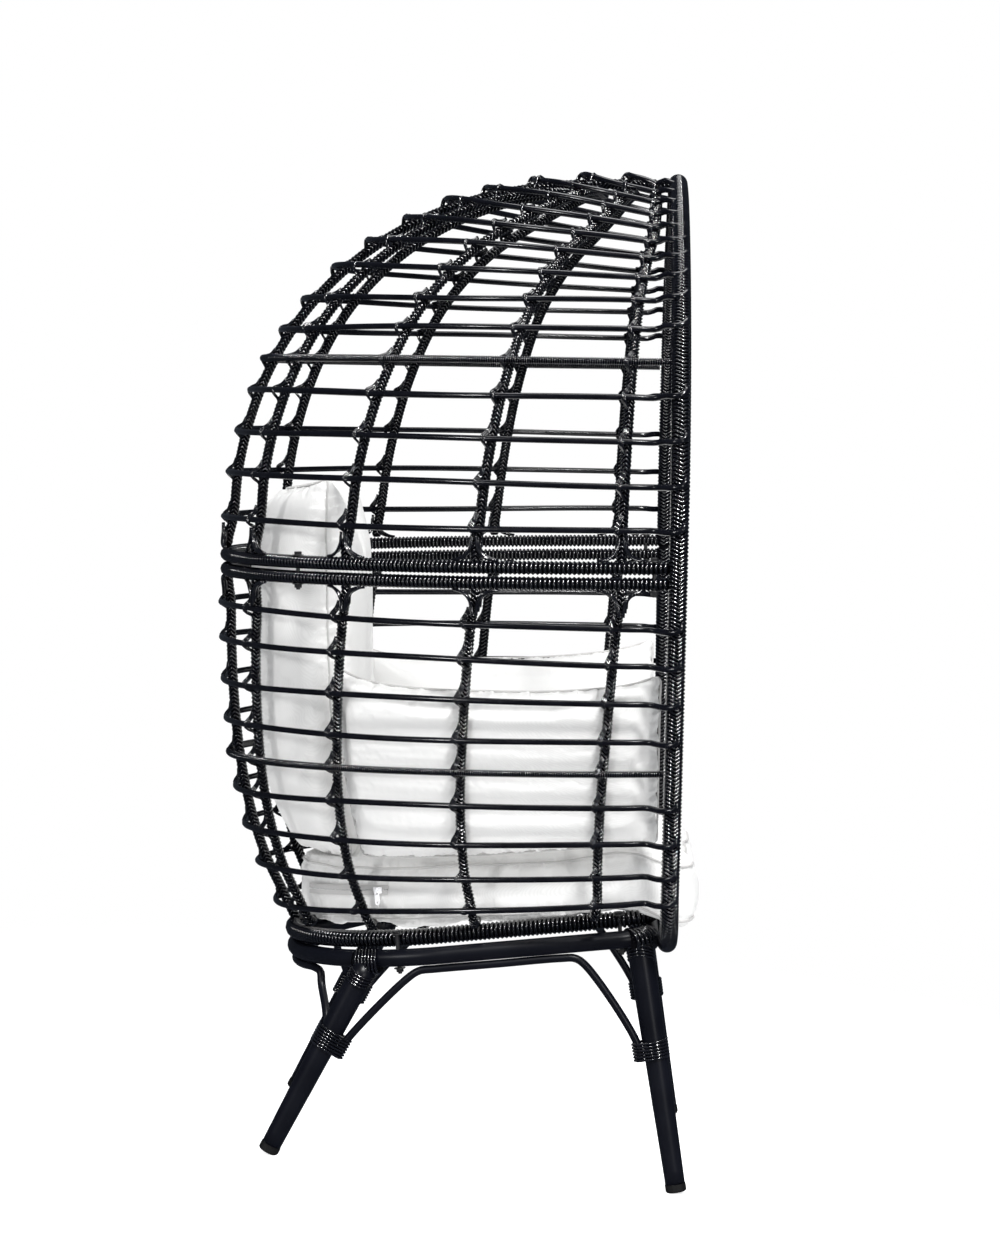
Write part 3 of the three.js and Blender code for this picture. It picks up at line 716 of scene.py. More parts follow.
for name, (top, low) in AXES.items():
    up = (top - low) / np.linalg.norm(top - low)
    length = np.linalg.norm(top - low)
    spots = evened([low + up * 0.0125, top - up * 0.010], 0.02)
    share = np.linspace(0, 1, len(spots))
    radii = (14.5 + 4.9 * share) / 1000
    leg = rod(f"tapered_leg_{name}", spots, 1.0, around=8, radii=radii)
    finished(leg, coat, "steel", f"leg_{name}")
    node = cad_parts[f"foot_cap_{name}"]
    node.data.materials.clear()
    node.data.materials.append(rubber)

# ---- bolts ------------------------------------------------------------------------------------
# Hexagon bolts with washers and nuts: four clamp the two half shells at the joint rings and
# four hold the basket's ring down on the stand's ring.
bolt_zinc = coated("black_zinc_bolts", (0.012, 0.012, 0.013), 0.34, 1500)


def turned(radius, low, high, sides, bevel):
    alone()
    middle = (0, 0, (low + high) / 2)
    bpy.ops.mesh.primitive_cylinder_add(vertices=sides, radius=radius, depth=high - low, location=middle)
    piece = bpy.context.object
    bpy.ops.object.transform_apply(location=True, rotation=False, scale=False)
    edge = piece.modifiers.new("edge", "BEVEL")
    edge.width = bevel
    edge.segments = 2
    edge.limit_method = "ANGLE"
    bpy.ops.object.modifier_apply(modifier="edge")
    return piece


# Washer and head above, shank, washer and nut below.
def bolt(top, low):
    washer, hexagon = 0.0085, 0.0055
    parts = [turned(washer, top, top + 0.0014, 24, 0.0003)]
    parts.append(turned(hexagon, top + 0.0014, top + 0.0058, 6, 0.0005))
    parts.append(turned(0.003, low - 0.009, top, 12, 0.0004))
    parts.append(turned(washer, low - 0.0014, low, 24, 0.0003))
    parts.append(turned(hexagon, low - 0.0064, low - 0.0014, 6, 0.0005))
    return joined("bolt", parts)


bolts = []
for phi in (-92, -38, 38, 92):
    x, f, _ = joint_spot(0, math.radians(phi))
    one = bolt(0.0200, -0.0200)
    one.data.transform(RAISED @ Matrix.Translation((x / 1000, -f / 1000, -0.25)))
    bolts.append(one)
clamps = joined("joint_bolts", bolts)
finished(clamps, bolt_zinc, "steel")
bolts = []
for x in (-214, 214):
    for f in (-294, 30):
        tilt = Matrix.Rotation(math.radians(-5.3), 4, "X")
        one = bolt(0.0115, -0.0375)
        spot = Matrix.Translation((x / 1000, -f / 1000, ring_height(f) / 1000))
        one.data.transform(RAISED @ spot @ tilt)
        bolts.append(one)
clamps = joined("base_bolts", bolts)
finished(clamps, bolt_zinc, "steel")

# ---- leg bindings ----------------------------------------------------------------------------
# Strand wound over the ring where each leg meets it, and round the leg's head below.
def straight(top, low, start, end):
    way = (low - top) / np.linalg.norm(low - top)
    return evened([top + way * start, top + way * end], 0.004), way


tube_line = ring_line(ring_plan(*STAND_PLAN), 23.3)[:-1]
for name, (top, low) in AXES.items():
    line, way = straight(top, low, 0.017, 0.036)
    turn_size = dict(strand=0.0020, pitch=0.0047, flat=1.1, parts=(28, 5))
    head = wound(f"{name}_head_binding", line, 0.0213, tilt=math.radians(24), **turn_size)
    nearest = int(np.argmin(np.linalg.norm(tube_line - top, axis=1)))
    here = np.roll(tube_line, len(tube_line) // 2 - nearest, axis=0)
    middle = len(here) // 2
    over = evened(here[middle - 3 : middle + 4] + way * 0.0045, 0.003)
    loops = [head, wound("ring_loops", over, 0.0208, tilt=math.radians(-14), **turn_size)]
    finished(joined(head.name, loops), wound_resin, "wicker")

# ---- braces -----------------------------------------------------------------------------------
# Bent rod under the ring, each end lying along a leg where it is bound.
def beside(name, share, out_x, out_f):
    top, low = AXES[name]
    up = (top - low) / np.linalg.norm(top - low)
    out = np.array([out_x, -out_f, 0.0])
    out -= np.dot(out, up) * up
    out /= np.linalg.norm(out)
    radius = 19.4 - 4.9 * share
    return top + (low - top) * share + out * (radius + 7.2) / 1000


def under_ring(f):
    return ring_height(f, -23.3 - 13 - 6 - 0.6)


# A side brace's run under the ring: distance across, place forward, drop below the ring.
SIDE_RUN = ((218, -283, 14), (220, -262, 1), (221, -240, 0), (222, -150, 0))
SIDE_RUN += ((222, -55, 0), (222, -34, 2), (222, -18, 15))
for side, x in (("right", -1), ("left", 1)):
    rear, front = f"rear_{side}", f"front_{side}"
    spots = [beside(rear, 0.47, 0.1 * x, 1), beside(rear, 0.4, 0.1 * x, 1)]
    for dx, f, drop in SIDE_RUN:
        spots.append(stood(dx * x, f, under_ring(f) - drop))
    spots += [beside(front, 0.41, 0.1 * x, -1), beside(front, 0.48, 0.1 * x, -1)]
    brace = rod(f"bent_brace_{side}", flowing(spots, 0.006), 0.006, around=4)
    finished(brace, coat, "steel", f"brace_{side}")


def rear_end(x):
    name = "rear_right" if x < 0 else "rear_left"
    spots = [beside(name, 0.43, -0.8 * x, -0.6), beside(name, 0.36, -0.8 * x, -0.6)]
    spots.append(stood(141 * x, -412, under_ring(-412) - 22))
    spots.append(stood(136 * x, -414, under_ring(-414) - 5))
    for t in np.radians([34, 25.5, 17, 8.5]):
        f = -230 - 233 * math.cos(t)
        spots.append(stood(222 * x * math.sin(t), f, under_ring(f)))
    return spots


spots = rear_end(-1) + [stood(0, -463, under_ring(-463))] + rear_end(1)[::-1]
brace = rod("bent_brace_rear", flowing(spots, 0.006), 0.006, around=4)
finished(brace, coat, "steel", "brace_rear")


# Turns of strand drawn tight round a leg and the one or two rods beside it.
BRACE = 0.006
def lashing(name, leg, share_a, share_b, out_x, out_f, second=None):
    top, low = AXES[leg]
    length = np.linalg.norm(low - top)
    way = (low - top) / length
    out = np.array([out_x, -out_f, 0.0])
    out -= np.dot(out, way) * way
    out /= np.linalg.norm(out)
    aside = np.cross(way, out)
    rods = [(1.0, 0.0)]
    if second is not None:
        extra = np.array([second[0], -second[1], 0.0])
        extra -= np.dot(extra, way) * way
        extra /= np.linalg.norm(extra)
        rods.append((np.dot(extra, out), np.dot(extra, aside)))
    turns = max(int((share_b - share_a) * length / 0.0044), 3)
    angles = np.linspace(0, 2 * math.pi, 32, endpoint=False)
    probe = np.linspace(-math.pi / 2 + 0.05, math.pi / 2 - 0.05, 61)
    made = []
    for k in range(turns):
        share = share_a + (share_b - share_a) * (k + 0.5) / turns
        radius = (19.4 - 4.9 * share) / 1000
        reach = radius + 0.0072
        spots = []
        for angle in angles:
            best = 1.0
            for off in probe:
                a = angle + off
                hold = radius
                for along_out, along_aside in rods:
                    hold = max(hold, reach * (math.cos(a) * along_out + math.sin(a) * along_aside) + BRACE)
                best = min(best, hold / math.cos(off))
            best += 0.0016
            lean = 0.0016 * math.cos(angle + 0.8)
            round_it = math.cos(angle) * out + math.sin(angle) * aside
            spots.append(top + way * (share * length + lean) + best * round_it)
        made.append(rod("turn", evened(spots + spots[:1], 0.0035), 0.0021, True, 1))
    wrap = joined(name, made)
    finished(wrap, wound_resin, "wicker")


for side, x in (("right", -1), ("left", 1)):
    lashing(f"rear_{side}_lashing", f"rear_{side}", 0.365, 0.465, 0.1 * x, 1, (-0.8 * x, -0.6))
    lashing(f"front_{side}_lashing", f"front_{side}", 0.40, 0.475, 0.1 * x, -1)

# ---- cushions: side and back pillows ------------------------------------------------------------
# Two pillows stand on the seat along the sides and a tall one fills the back. Each is a bag
# of off-white woven polyester, two panels sewn together all round, over loose fibre filling.
def cover_cloth(name, tint):
    stuff, tree, shader, place = blank(name)
    shader.inputs["Roughness"].default_value = 0.82
    shader.inputs["Specular IOR Level"].default_value = 0.25
    shader.inputs["Sheen Weight"].default_value = 0.12
    shader.inputs["Sheen Roughness"].default_value = 0.45
    dulled = [0.94 * c for c in tint]
    hue = tinted(tree, mottled(tree, place, 7, 4), 0.3, dulled, 0.75, tint)
    # warp and weft threads, crossing at right angles, each slightly uneven
    threads = []
    for axis, scale in (("Z", 340), ("Y", 330), ("X", 330)):
        wave = tree.nodes.new("ShaderNodeTexWave")
        wave.bands_direction = axis
        wave.inputs["Scale"].default_value = scale
        wave.inputs["Distortion"].default_value = 0.8
        wave.inputs["Detail"].default_value = 1
        tree.links.new(place, wave.inputs["Vector"])
        threads.append(wave.outputs["Fac"])
    both = tree.nodes.new("ShaderNodeMath")
    both.operation = "MULTIPLY"
    tree.links.new(threads[1], both.inputs[0])
    tree.links.new(threads[2], both.inputs[1])
    weave = tree.nodes.new("ShaderNodeMath")
    weave.operation = "ADD"
    tree.links.new(threads[0], weave.inputs[0])
    tree.links.new(both.outputs["Value"], weave.inputs[1])
    shade = tree.nodes.new("ShaderNodeMix")
    shade.data_type = "RGBA"
    shade.blend_type = "MULTIPLY"
    shade.inputs["Factor"].default_value = 0.10
    tree.links.new(hue, shade.inputs[6])
    tree.links.new(weave.outputs["Value"], shade.inputs[7])
    tree.links.new(shade.outputs[2], shader.inputs["Base Color"])
    fine = dented(tree, weave.outputs["Value"], 0.25, 0.0003, shader)
    dented(tree, mottled(tree, place, 26, 3), 0.35, 0.0025, fine)
    return stuff


cloth = cover_cloth("cushion_cover_cloth", (0.88, 0.875, 0.86))
# A darker copy of the cover cloth for the welts and zip tapes: painted shade along the seams.
seam_shade_cloth = cover_cloth("cushion_seam_painted_shade_cloth", (0.60, 0.59, 0.58))


def course_of(lengths, s):
    i = 0
    while i < len(lengths) - 2 and lengths[i + 1] < s:
        i += 1
    return i + (s - lengths[i]) / (lengths[i + 1] - lengths[i])


def lining(z, phi, depth):
    upper = z > -250
    q = course_of(UPPER_BACK, z + 241) if upper else course_of(LOWER_BACK, -262 - z)
    return inside(upper, max(q, 0.03), phi, depth)


def seat_bottom(f):
    return ring_height(f, 26.9)


def seat_top_at(f):
    return seat_bottom(f) + 86


# A placing rule worked out on a lattice once and read between its knots.
def lattice(place, knots=27):
    steps = np.linspace(-1, 1, knots)
    table = np.array([[[place(u, v, w) for w in (-1.0, 1.0)] for v in steps] for u in steps])

    def read_at(u, v, w):
        a = (np.clip(u, -1, 1) + 1) / 2 * (knots - 1)
        b = (np.clip(v, -1, 1) + 1) / 2 * (knots - 1)
        i, j = min(int(a), knots - 2), min(int(b), knots - 2)
        a, b, c = a - i, b - j, (w + 1) / 2
        low = table[i, j] * (1 - b) + table[i, j + 1] * b
        high = table[i + 1, j] * (1 - b) + table[i + 1, j + 1] * b
        ends = low * (1 - a) + high * a
        return ends[0] * (1 - c) + ends[1] * c

    return read_at


# An unsewn bag: a fine box whose points are set by a placing rule (u, v, w from -1 to 1).
def bag(name, place, cuts):
    alone()
    bpy.ops.mesh.primitive_cube_add(size=2)
    sack = bpy.context.object
    sack.name = name
    bpy.ops.object.mode_set(mode="EDIT")
    bpy.ops.mesh.select_all(action="SELECT")
    bpy.ops.mesh.subdivide(number_cuts=cuts)
    bpy.ops.object.mode_set(mode="OBJECT")
    for corner in sack.data.vertices:
        x, f, z = place(*corner.co)
        corner.co = (x / 1000, -f / 1000, z / 1000)
    cleaned(0.0002)
    return sack


def spots_of(piece):
    flat = np.empty(len(piece.data.vertices) * 3)
    piece.data.vertices.foreach_get("co", flat)
    return flat.reshape(-1, 3)


def set_spots(piece, spots):
    piece.data.vertices.foreach_set("co", spots.ravel())
    piece.data.update()


def tree_of(points):
    finder = KDTree(len(points))
    for k, p in enumerate(points):
        finder.insert(p, k)
    finder.balance()
    return finder


# Filled: cloth under pressure from inside. Returns where each point stood before.
def filled(sack, voxel, pressure, stiff=12.0):
    alone()
    sack.select_set(True)
    bpy.context.view_layer.objects.active = sack
    grid = sack.modifiers.new("grid", "REMESH")
    grid.mode = "VOXEL"
    grid.voxel_size = voxel
    bpy.ops.object.modifier_apply(modifier="grid")
    before = spots_of(sack)
    press = sack.modifiers.new("filling", "CLOTH")
    press.settings.use_pressure = True
    press.settings.uniform_pressure_force = pressure
    press.settings.effector_weights.gravity = 0
    press.settings.quality = 5
    press.settings.mass = 0.3
    press.settings.tension_stiffness = stiff
    press.settings.compression_stiffness = stiff
    press.settings.shear_stiffness = stiff * 0.4
    press.settings.bending_stiffness = 0.4
    for step in range(1, 21):
        bpy.context.scene.frame_set(step)
    bpy.ops.object.modifier_apply(modifier="filling")
    bpy.context.scene.frame_set(1)
    return before


# One finer level of the mesh, rounded.
def smoothed(piece):
    smooth = piece.modifiers.new("smooth", "SUBSURF")
    smooth.levels = smooth.render_levels = 1
    alone()
    piece.select_set(True)
    bpy.context.view_layer.objects.active = piece
    bpy.ops.object.modifier_apply(modifier="smooth")
    return spots_of(piece)


# A pillow between the seat and the shell. w runs from the room (-1) to the shell (+1).
# Its edge is a share of the full thickness and its seam lies at seam_w. It swells into the
# room by up to the length given, in metres, and towards the shell by 2 mm at most.
PRESSED_OUT = 0.002


def pillow(name, node, place, edge, seam_w, cuts, crown, room, fill):
    place = lattice(place)

    def start(u, v, w):
        thin = (1 - abs(u) ** crown[0]) ** crown[1] * (1 - abs(v) ** crown[2]) ** crown[3]
        return place(u, v, seam_w + (w - seam_w) * (edge + (0.9 - edge) * thin))

    sack = bag(name, start, cuts)
    before = filled(sack, 0.0055, 4.2)
    after = spots_of(sack)
    steps = np.linspace(-1, 1, 31)
    marks, outs, lims = [], [], []
    for u in steps:
        for v in steps:
            near, far = place(u, v, -1.0), place(u, v, 1.0)
            out = (far - near) / np.linalg.norm(far - near)
            for w in (-1, -0.5, 0, 0.5, 1):
                marks.append(start(u, v, w) * [1, -1, 1] / 1000)
                outs.append(out * [1, -1, 1])
                lims.append(far * [1, -1, 1] / 1000)
    finder = tree_of(marks)
    outs, lims = np.array(outs), np.array(lims)
    pick = np.array([finder.find(p)[1] for p in before])
    out = outs[pick]
    push = after - before
    through = np.sum(push * out, axis=1)
    aside = push - through[:, None] * out
    size = np.linalg.norm(aside, axis=1)
    aside *= (np.minimum(size, 0.006) / np.maximum(size, 1e-9))[:, None]
    through = np.clip(through, -room, 0.02)
    moved = before + aside + through[:, None] * out
    over = np.sum((moved - lims[pick]) * out, axis=1) - PRESSED_OUT
    moved -= np.maximum(over, 0)[:, None] * out
    # the filling settles on the seat
    floor = (np.array([seat_top_at(-p[1] * 1000) for p in moved]) + 1.5) / 1000
    moved[:, 2] = np.maximum(moved[:, 2], floor)
    set_spots(sack, moved)
    # the sewn edge: a loop round the bag at the seam, drawn in, with puckers beside it
    rim_steps = np.linspace(-1, 1, 60, endpoint=False)
    loop = [(u, -1) for u in rim_steps] + [(1, v) for v in rim_steps]
    loop += [(-u, -v) for u, v in loop]
    finder = tree_of(before)
    hem = []
    for u, v in loop:
        here = start(u, v, seam_w) * [1, -1, 1] / 1000
        hem.append(moved[finder.find(here)[1]])
    hem = np.array(hem)
    for _ in range(2):
        hem = (np.roll(hem, 1, 0) + 2 * hem + np.roll(hem, -1, 0)) / 4
    spots = smoothed(sack)
    seam_finder = tree_of(hem)
    heart = np.mean(hem, axis=0)
    gone = np.concatenate([[0], np.cumsum(np.linalg.norm(np.diff(hem, axis=0), axis=1))])
    for k, p in enumerate(spots):
        near, which, away = seam_finder.find(p)
        if away < 0.045:
            toward = (Vector(heart) - Vector(p)).normalized()
            run = gone[which]
            valley = 0.0026 * math.exp(-(((away - 0.0055) / 0.0035) ** 2))
            pucker = 0.0016 * math.sin(run * 330 + 2.2 * math.sin(run * 47))
            pucker *= math.exp(-(((away - 0.012) / 0.012) ** 2))
            fold = 0.0015 * math.sin(run * 150 + 2.6 * math.sin(run * 23)) * math.exp(-((away / 0.03) ** 2))
            pucker += fold
            spots[k] = p + np.array(toward) * (valley + pucker)
    set_spots(sack, spots)
    line = flowing([np.array(p) for p in hem[::2]], 0.006, closed=True)
    welt = rod(name + "_welt", line, 0.0017, True, 1)
    sack.data.transform(RAISED)
    welt.data.transform(RAISED)
    bpy.ops.object.select_all(action="DESELECT")
    sack.select_set(True)
    bpy.ops.object.shade_smooth()
    finished(sack, cloth, "cushion_cloth", node)
    # the welt takes the darker cloth, painted seam shade
    finished(welt, seam_shade_cloth, "cushion_cloth")
    return sack


# The lining at a height of its own, although it leans with the shell.
def lined(z, phi, depth):
    guess = z
    for _ in range(3):
        guess += z - lining(guess, phi, depth)[2]
    return lining(guess, phi, depth)


def side_place(x):
    def spot(u, v, w):
        phi = math.radians(68 + 26 * u) * x
        flat = lining(-560, phi, 60)[1]
        low = seat_top_at(flat) + 2 + 8 * max(-u, 0) ** 2
        high = -416 + 24 * abs(u) ** 3
        return lined(low + (high - low) * (v + 1) / 2, phi, 74 - 43 * w)

    return spot


def back_place(u, v, w):
    high = -134 + 16 * abs(u) ** 3
    depth = 122 - 68 * w
    depth += 22 * (1 - w) * (1 - u * u) * (1 - abs(v) ** 4)
    return lined(-694 + (high + 694) * (v + 1) / 2, math.radians(35) * u, depth)


for side, x in (("right", -1), ("left", 1)):
    small = dict(edge=0.14, seam_w=0.3, cuts=34, crown=(3.6, 0.5, 3.2, 0.5), room=0.02, fill=0.7)
    pillow(f"side_pillow_{side}", f"side_cushion_{side}", side_place(x), **small)
tall = dict(edge=0.08, seam_w=0.4, cuts=44, crown=(10, 0.5, 3.0, 0.5), room=0.016, fill=0.65)
pillow("back_pillow", "back_cushion", back_place, **tall)

# ---- seat cushion -------------------------------------------------------------------------------
# A thick foam pad in a boxed cover: top and bottom panels joined to a side band by piped
# seams, the band closed at the rear right by a zip.
SEAT = {"half": 225, "back": -464, "widest": 50, "front": 150, "corner": 75}


# In front of the ring nothing holds the pad up, and it hangs over.
def droop(f):
    t = min(max((f - 20) / 130, 0), 1)
    return 38 * t * t * (3 - 2 * t)


def seat_plan(share):
    half, back, widest, front, corner = (SEAT[k] for k in ("half", "back", "widest", "front", "corner"))
    right = [(half, f) for f in np.linspace(widest, front - corner, 8, endpoint=False)]
    turn = np.linspace(0, math.pi / 2, 14)
    bend = [(half - corner + corner * math.cos(t), front - corner + corner * math.sin(t)) for t in turn]
    across = [(x, front) for x in np.linspace(half - corner, 0, 24)][1:]
    fore = right + bend + across
    fore += [(-x, f) for x, f in fore[-2::-1]]
    sweep = np.linspace(0, math.pi, 90)[1:-1]
    rear = [(-half * math.cos(t), widest - (widest - back) * math.sin(t)) for t in sweep]
    ring = np.array(fore + rear, float)
    centre = np.array([0.0, -90.0])
    return centre + (ring - centre) * share


def plan_line(inset, lift):
    ring = seat_plan(1)
    ahead = np.roll(ring, -1, 0) - np.roll(ring, 1, 0)
    normal = np.stack([ahead[:, 1], -ahead[:, 0]], 1)
    normal /= np.linalg.norm(normal, axis=1)[:, None]
    centre = np.array([0.0, -90.0])
    normal *= np.sign(np.sum((ring - centre) * normal, axis=1))[:, None]
    ring = ring - normal * inset
    return [np.array([x, f, seat_bottom(f) - droop(f) + lift]) for x, f in ring], normal


alone()
# the pad's section: share of the plan and height above the bottom, from under the pad up
levels = ((0.55, 4), (0.86, -4), (0.955, -19), (0.99, -17), (1.0, 12))
levels += ((1.0, 43), (1.0, 66), (0.985, 78), (0.93, 83), (0.55, 85))
rings = []
for share, lift in levels:
    rings.append([(x, f, seat_bottom(f) - droop(f) + lift) for x, f in seat_plan(share * 0.985)])
count = len(rings[0])
bpy.ops.mesh.primitive_circle_add(vertices=count, radius=1, fill_type="NOTHING")
pad = bpy.context.object
pad.name = "seat_pad"
bpy.ops.object.mode_set(mode="EDIT")
bpy.ops.mesh.select_all(action="SELECT")
for _ in levels[1:]:
    bpy.ops.mesh.extrude_region_move(TRANSFORM_OT_translate={"value": (0, 0, 0.1)})
bpy.ops.object.mode_set(mode="OBJECT")
for k, corner in enumerate(pad.data.vertices):
    x, f, z = rings[k // count][k % count]
    corner.co = (x / 1000, -f / 1000, z / 1000)
bpy.ops.object.mode_set(mode="EDIT")
bpy.ops.mesh.select_all(action="SELECT")
bpy.ops.mesh.select_mode(type="EDGE")
bpy.ops.mesh.select_all(action="DESELECT")
bpy.ops.mesh.select_non_manifold()
bpy.ops.mesh.fill_holes(sides=0)
bpy.ops.mesh.select_all(action="SELECT")
bpy.ops.mesh.normals_make_consistent(inside=False)
bpy.ops.object.mode_set(mode="OBJECT")
before = filled(pad, 0.0055, 4.0, 15.0)
spots = spots_of(pad)
edge_line, edge_normal = plan_line(0, 43)
edge_tree = tree_of([np.array([p[0], p[1], 0]) for p in edge_line])
hoops = [50 - 516 * math.cos(rib_angle(False, i, 10)) for i in range(4)]
ZIP_SPAN = (-436, -312)
for k, (old, new) in enumerate(zip(before, spots)):
    push = new - old
    size = np.linalg.norm(push)
    p = (old + push * min(1.0, 0.024 / max(size, 1e-9))) * [1000, -1000, 1000]
    x, f, z = p
    near, which, away = edge_tree.find((x, f, 0))
    side = np.dot(np.array([x, f]) - np.array(near[:2]), edge_normal[which])
    # the band stands off its plan by what is free there: nothing at the zip, most in front
    room = 1.5 + 8.5 * min(max((f - 70) / 60, 0), 1)
    if x < 0 and ZIP_SPAN[0] - 25 < f < ZIP_SPAN[1] + 25:
        room = -0.9
    if side > room:
        x, f = np.array([x, f]) - (side - room) * edge_normal[which]
    lift = z - seat_bottom(f) + droop(f)
    # the bottom rests on the four hoops and hangs a little between them
    gap = min([abs(f - g) for g in hoops] + ([abs(f - 77)] if f < 95 else [60]))
    band = min(max((side + 60) / 40, 0), 1)
    hang = -min(6 + 13 * band, 0.012 * max(gap - 11, 0) ** 2)
    if f > 95:
        hang = -14 + 14 * (1 - band)
    if side > -34:
        hang -= 13 * min((side + 34) / 16, 1)
    lift = max(lift, hang)
    # side and back pillows press on the top; the front crowns freely
    crown = 2 + 12 * min(max((f - 40) / 60, 0), 1)
    crown += 5 * max(1 - (x / 120) ** 2, 0) * max(1 - ((f + 80) / 220) ** 2, 0)
    lift = min(lift, 86 + crown)
    spots[k] = np.array([x / 1000, -f / 1000, (seat_bottom(f) - droop(f) + lift) / 1000])
set_spots(pad, spots)
spots = smoothed(pad)
# sewn seams: the top and bottom edges of the band
pad_tree = tree_of(spots)
welts = []
for lift in (74, 4):
    found = []
    for p, n in zip(*plan_line(6.0, lift)):
        aim = np.array([p[0] + n[0] * 12, -(p[1] + n[1] * 12), p[2] + (14 if lift > 40 else -14)]) / 1000
        found.append(spots[pad_tree.find(aim)[1]])
    found = np.array(found)
    for _ in range(3):
        found = (np.roll(found, 1, 0) + 2 * found + np.roll(found, -1, 0)) / 4
    welts.append(found)
seams = np.concatenate(welts)
seam_finder = tree_of(seams)
heart = Vector((0, 0.09, -0.73))
for k, p in enumerate(spots):
    near, which, away = seam_finder.find(p)
    if away < 0.05:
        run = 0.0052 * which
        toward = (heart - Vector(p)).normalized()
        valley = 0.0026 * math.exp(-(((away - 0.005) / 0.0035) ** 2))
        pucker = 0.0014 * math.sin(run * 300 + 2 * math.sin(run * 41))
        pucker *= math.exp(-(((away - 0.012) / 0.013) ** 2))
        spots[k] = p + np.array(toward) * (valley + pucker)
set_spots(pad, spots)
pieces = []
for which, found in enumerate(welts):
    line = flowing([np.array(p) for p in found[::2]], 0.006, closed=True)
    welt = rod("seat_welt_top" if which == 0 else "seat_welt_bottom", line, 0.0019, True, 1)
    welt.data.transform(RAISED)
    pieces.append(welt)
pad.data.transform(RAISED)
alone()
pad.select_set(True)
bpy.ops.object.shade_smooth()
finished(pad, cloth, "cushion_cloth", "seat_cushion")
# the welts take the darker cloth, painted seam shade
for welt in pieces:
    finished(welt, seam_shade_cloth, "cushion_cloth")

# ---- zip -------------------------------------------------------------------------------------------
# A white coil zip in the band: two woven tapes with the nylon coil between them, a cast
# slider and its hanging pull.
def zip_spot(f, lift, out):
    half, reach = SEAT["half"], SEAT["widest"] - SEAT["back"]
    t = math.asin((SEAT["widest"] - f) / reach)
    normal = np.array([-reach * math.cos(t), -half * math.sin(t)])
    normal /= np.linalg.norm(normal)
    x, g = -half * math.cos(t) + normal[0] * out, f + normal[1] * out
    return stood(x, g, seat_bottom(f) + 43 + lift)


def ribbon(name, low, high, out, thick):
    steps = np.linspace(*ZIP_SPAN, 32)
    alone()
    bpy.ops.mesh.primitive_grid_add(x_subdivisions=len(steps) - 1, y_subdivisions=1, size=2)
    strip = bpy.context.object
    strip.name = name
    for corner in strip.data.vertices:
        f = ZIP_SPAN[0] + (ZIP_SPAN[1] - ZIP_SPAN[0]) * (corner.co.x + 1) / 2
        corner.co = zip_spot(f, low if corner.co.y < 0 else high, out)
    wall = strip.modifiers.new("wall", "SOLIDIFY")
    wall.thickness = thick
    wall.offset = 0
    bpy.ops.object.modifier_apply(modifier="wall")
    cleaned(0)
    return strip


tapes = [ribbon("tape", low, low + 6.4, -0.5, 0.0006) for low in (1.1, -7.5)]
tape = joined("zip_tapes", tapes)
# the tapes take the same darker cloth, painted shade
finished(tape, seam_shade_cloth, "cushion_cloth")
coil_line = evened([zip_spot(f, 0, -0.5) for f in np.linspace(*ZIP_SPAN, 60)], 0.003)
coil = wound("zip_coil", coil_line, 0.0013, 0.0004, 0.0013, parts=(8, 3))
zip_metal = coated("white_zip_metal", (0.80, 0.80, 0.81), 0.3, 500)
zip_nylon = coated("white_zip_nylon", (0.72, 0.72, 0.72), 0.45, 900)
finished(coil, zip_nylon, "zip")
for node in ("zip_slider", "zip_pull"):
    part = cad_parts[node]
    part.data.materials.clear()
    part.data.materials.append(zip_metal)

# ---- studio ---------------------------------------------------------------------------------------
# A round of pale floor that fades into white all round, and soft light from boxes.
alone()
bpy.ops.mesh.primitive_circle_add(vertices=96, radius=3.4, fill_type="NGON", location=(0, 0, 0))
floor = bpy.context.object
floor.name = "studio_floor"
paper = bpy.data.materials.new("studio_paper")
paper.use_nodes = True
tree = paper.node_tree
shader = tree.nodes["Principled BSDF"]
shader.inputs["Base Color"].default_value = (0.94, 0.94, 0.945, 1)
shader.inputs["Emission Color"].default_value = (1, 1, 1, 1)
shader.inputs["Emission Strength"].default_value = 0.75
shader.inputs["Roughness"].default_value = 0.95
shader.inputs["Specular IOR Level"].default_value = 0.1
place = tree.nodes.new("ShaderNodeTexCoord")
reach = tree.nodes.new("ShaderNodeVectorMath")
reach.operation = "LENGTH"
tree.links.new(place.outputs["Object"], reach.inputs[0])
fade = tree.nodes.new("ShaderNodeMapRange")
fade.interpolation_type = "SMOOTHSTEP"
fade.inputs["From Min"].default_value = 0.45
fade.inputs["From Max"].default_value = 1.7
fade.inputs["To Min"].default_value = 1
fade.inputs["To Max"].default_value = 0
tree.links.new(reach.outputs["Value"], fade.inputs["Value"])
tree.links.new(fade.outputs["Result"], shader.inputs["Alpha"])
floor.data.materials.append(paper)
floor.visible_glossy = False

world = bpy.data.worlds.new("studio_air") if bpy.context.scene.world is None else bpy.context.scene.world
bpy.context.scene.world = world
world.use_nodes = True
tree = world.node_tree
tree.nodes.clear()
seen = tree.nodes.new("ShaderNodeBackground")
seen.inputs["Color"].default_value = (1, 1, 1, 1)
seen.inputs["Strength"].default_value = 1.0
air = tree.nodes.new("ShaderNodeBackground")
air.inputs["Color"].default_value = (0.95, 0.97, 1, 1)
air.inputs["Strength"].default_value = 0.52
dark = tree.nodes.new("ShaderNodeBackground")
dark.inputs["Color"].default_value = (0.7, 0.8, 1, 1)
dark.inputs["Strength"].default_value = 0.06
ray = tree.nodes.new("ShaderNodeLightPath")
shine = tree.nodes.new("ShaderNodeMixShader")
tree.links.new(ray.outputs["Is Glossy Ray"], shine.inputs["Fac"])
tree.links.new(air.outputs["Background"], shine.inputs[1])
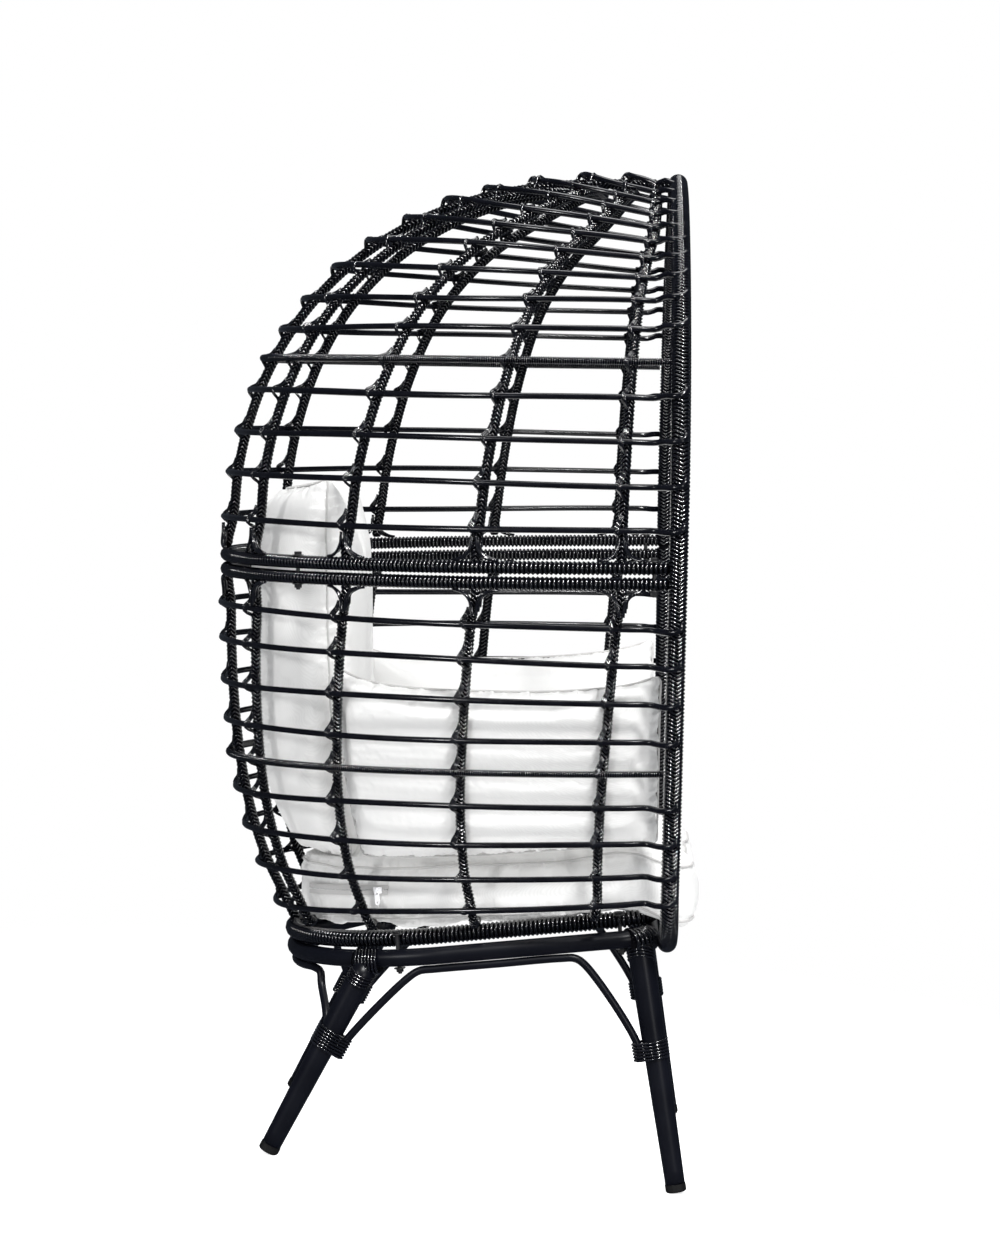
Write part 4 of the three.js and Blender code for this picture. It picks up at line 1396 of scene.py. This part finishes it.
tree.links.new(dark.outputs["Background"], shine.inputs[2])
pick = tree.nodes.new("ShaderNodeMixShader")
tree.links.new(ray.outputs["Is Camera Ray"], pick.inputs["Fac"])
tree.links.new(shine.outputs["Shader"], pick.inputs[1])
tree.links.new(seen.outputs["Background"], pick.inputs[2])
out = tree.nodes.new("ShaderNodeOutputWorld")
tree.links.new(pick.outputs["Shader"], out.inputs["Surface"])
bpy.context.scene.view_settings.view_transform = "Standard"


def softbox(name, spot, aim, size, watts):
    bpy.ops.object.light_add(type="AREA", location=spot)
    lamp = bpy.context.object
    lamp.name = name
    lamp.data.shape = "RECTANGLE"
    lamp.data.size, lamp.data.size_y = size
    lamp.data.energy = watts
    lamp.rotation_euler = (Vector(aim) - Vector(spot)).to_track_quat("-Z", "Y").to_euler()
    return lamp


softbox("key_softbox", (-2.9, -0.9, 3.9), (0, 0, 0.8), (0.55, 0.55), 178)
softbox("fill_softbox", (-3.6, 2.4, 1.9), (0, 0, 0.8), (0.4, 0.5), 42)
softbox("top_softbox", (0.4, 0, 4.2), (0, 0, 0.8), (2.0, 2.0), 60)
softbox("low_softbox", (-3.4, -1.6, 0.9), (0, 0, 0.7), (0.3, 0.4), 16)

# Camera: 4.6 m to the sitter's right, turned and pitched a little, rolled with the lean.
FOCAL, DOWN, TALL = 3040, 227, 1244
pitch, yaw = math.atan(DOWN / FOCAL), math.radians(1.88)
look = np.array([math.cos(pitch) * math.cos(yaw), math.cos(pitch) * math.sin(yaw), -math.sin(pitch)])
side = np.array([math.sin(yaw), -math.cos(yaw), 0])
rise = np.cross(side, look)
turn = Matrix.Rotation(-LEAN, 3, "X")
eye = stood(-4600, 0, 0)
basis = Matrix([turn @ Vector(side), turn @ Vector(rise), turn @ Vector(-look)]).transposed()
bpy.ops.object.camera_add()
camera = bpy.context.object
camera.matrix_world = Matrix.Translation(Vector(eye)) @ basis.to_4x4()
camera.data.sensor_width = 36
camera.data.lens = FOCAL / TALL * 36
camera.data.clip_end = 100
bpy.context.scene.camera = camera
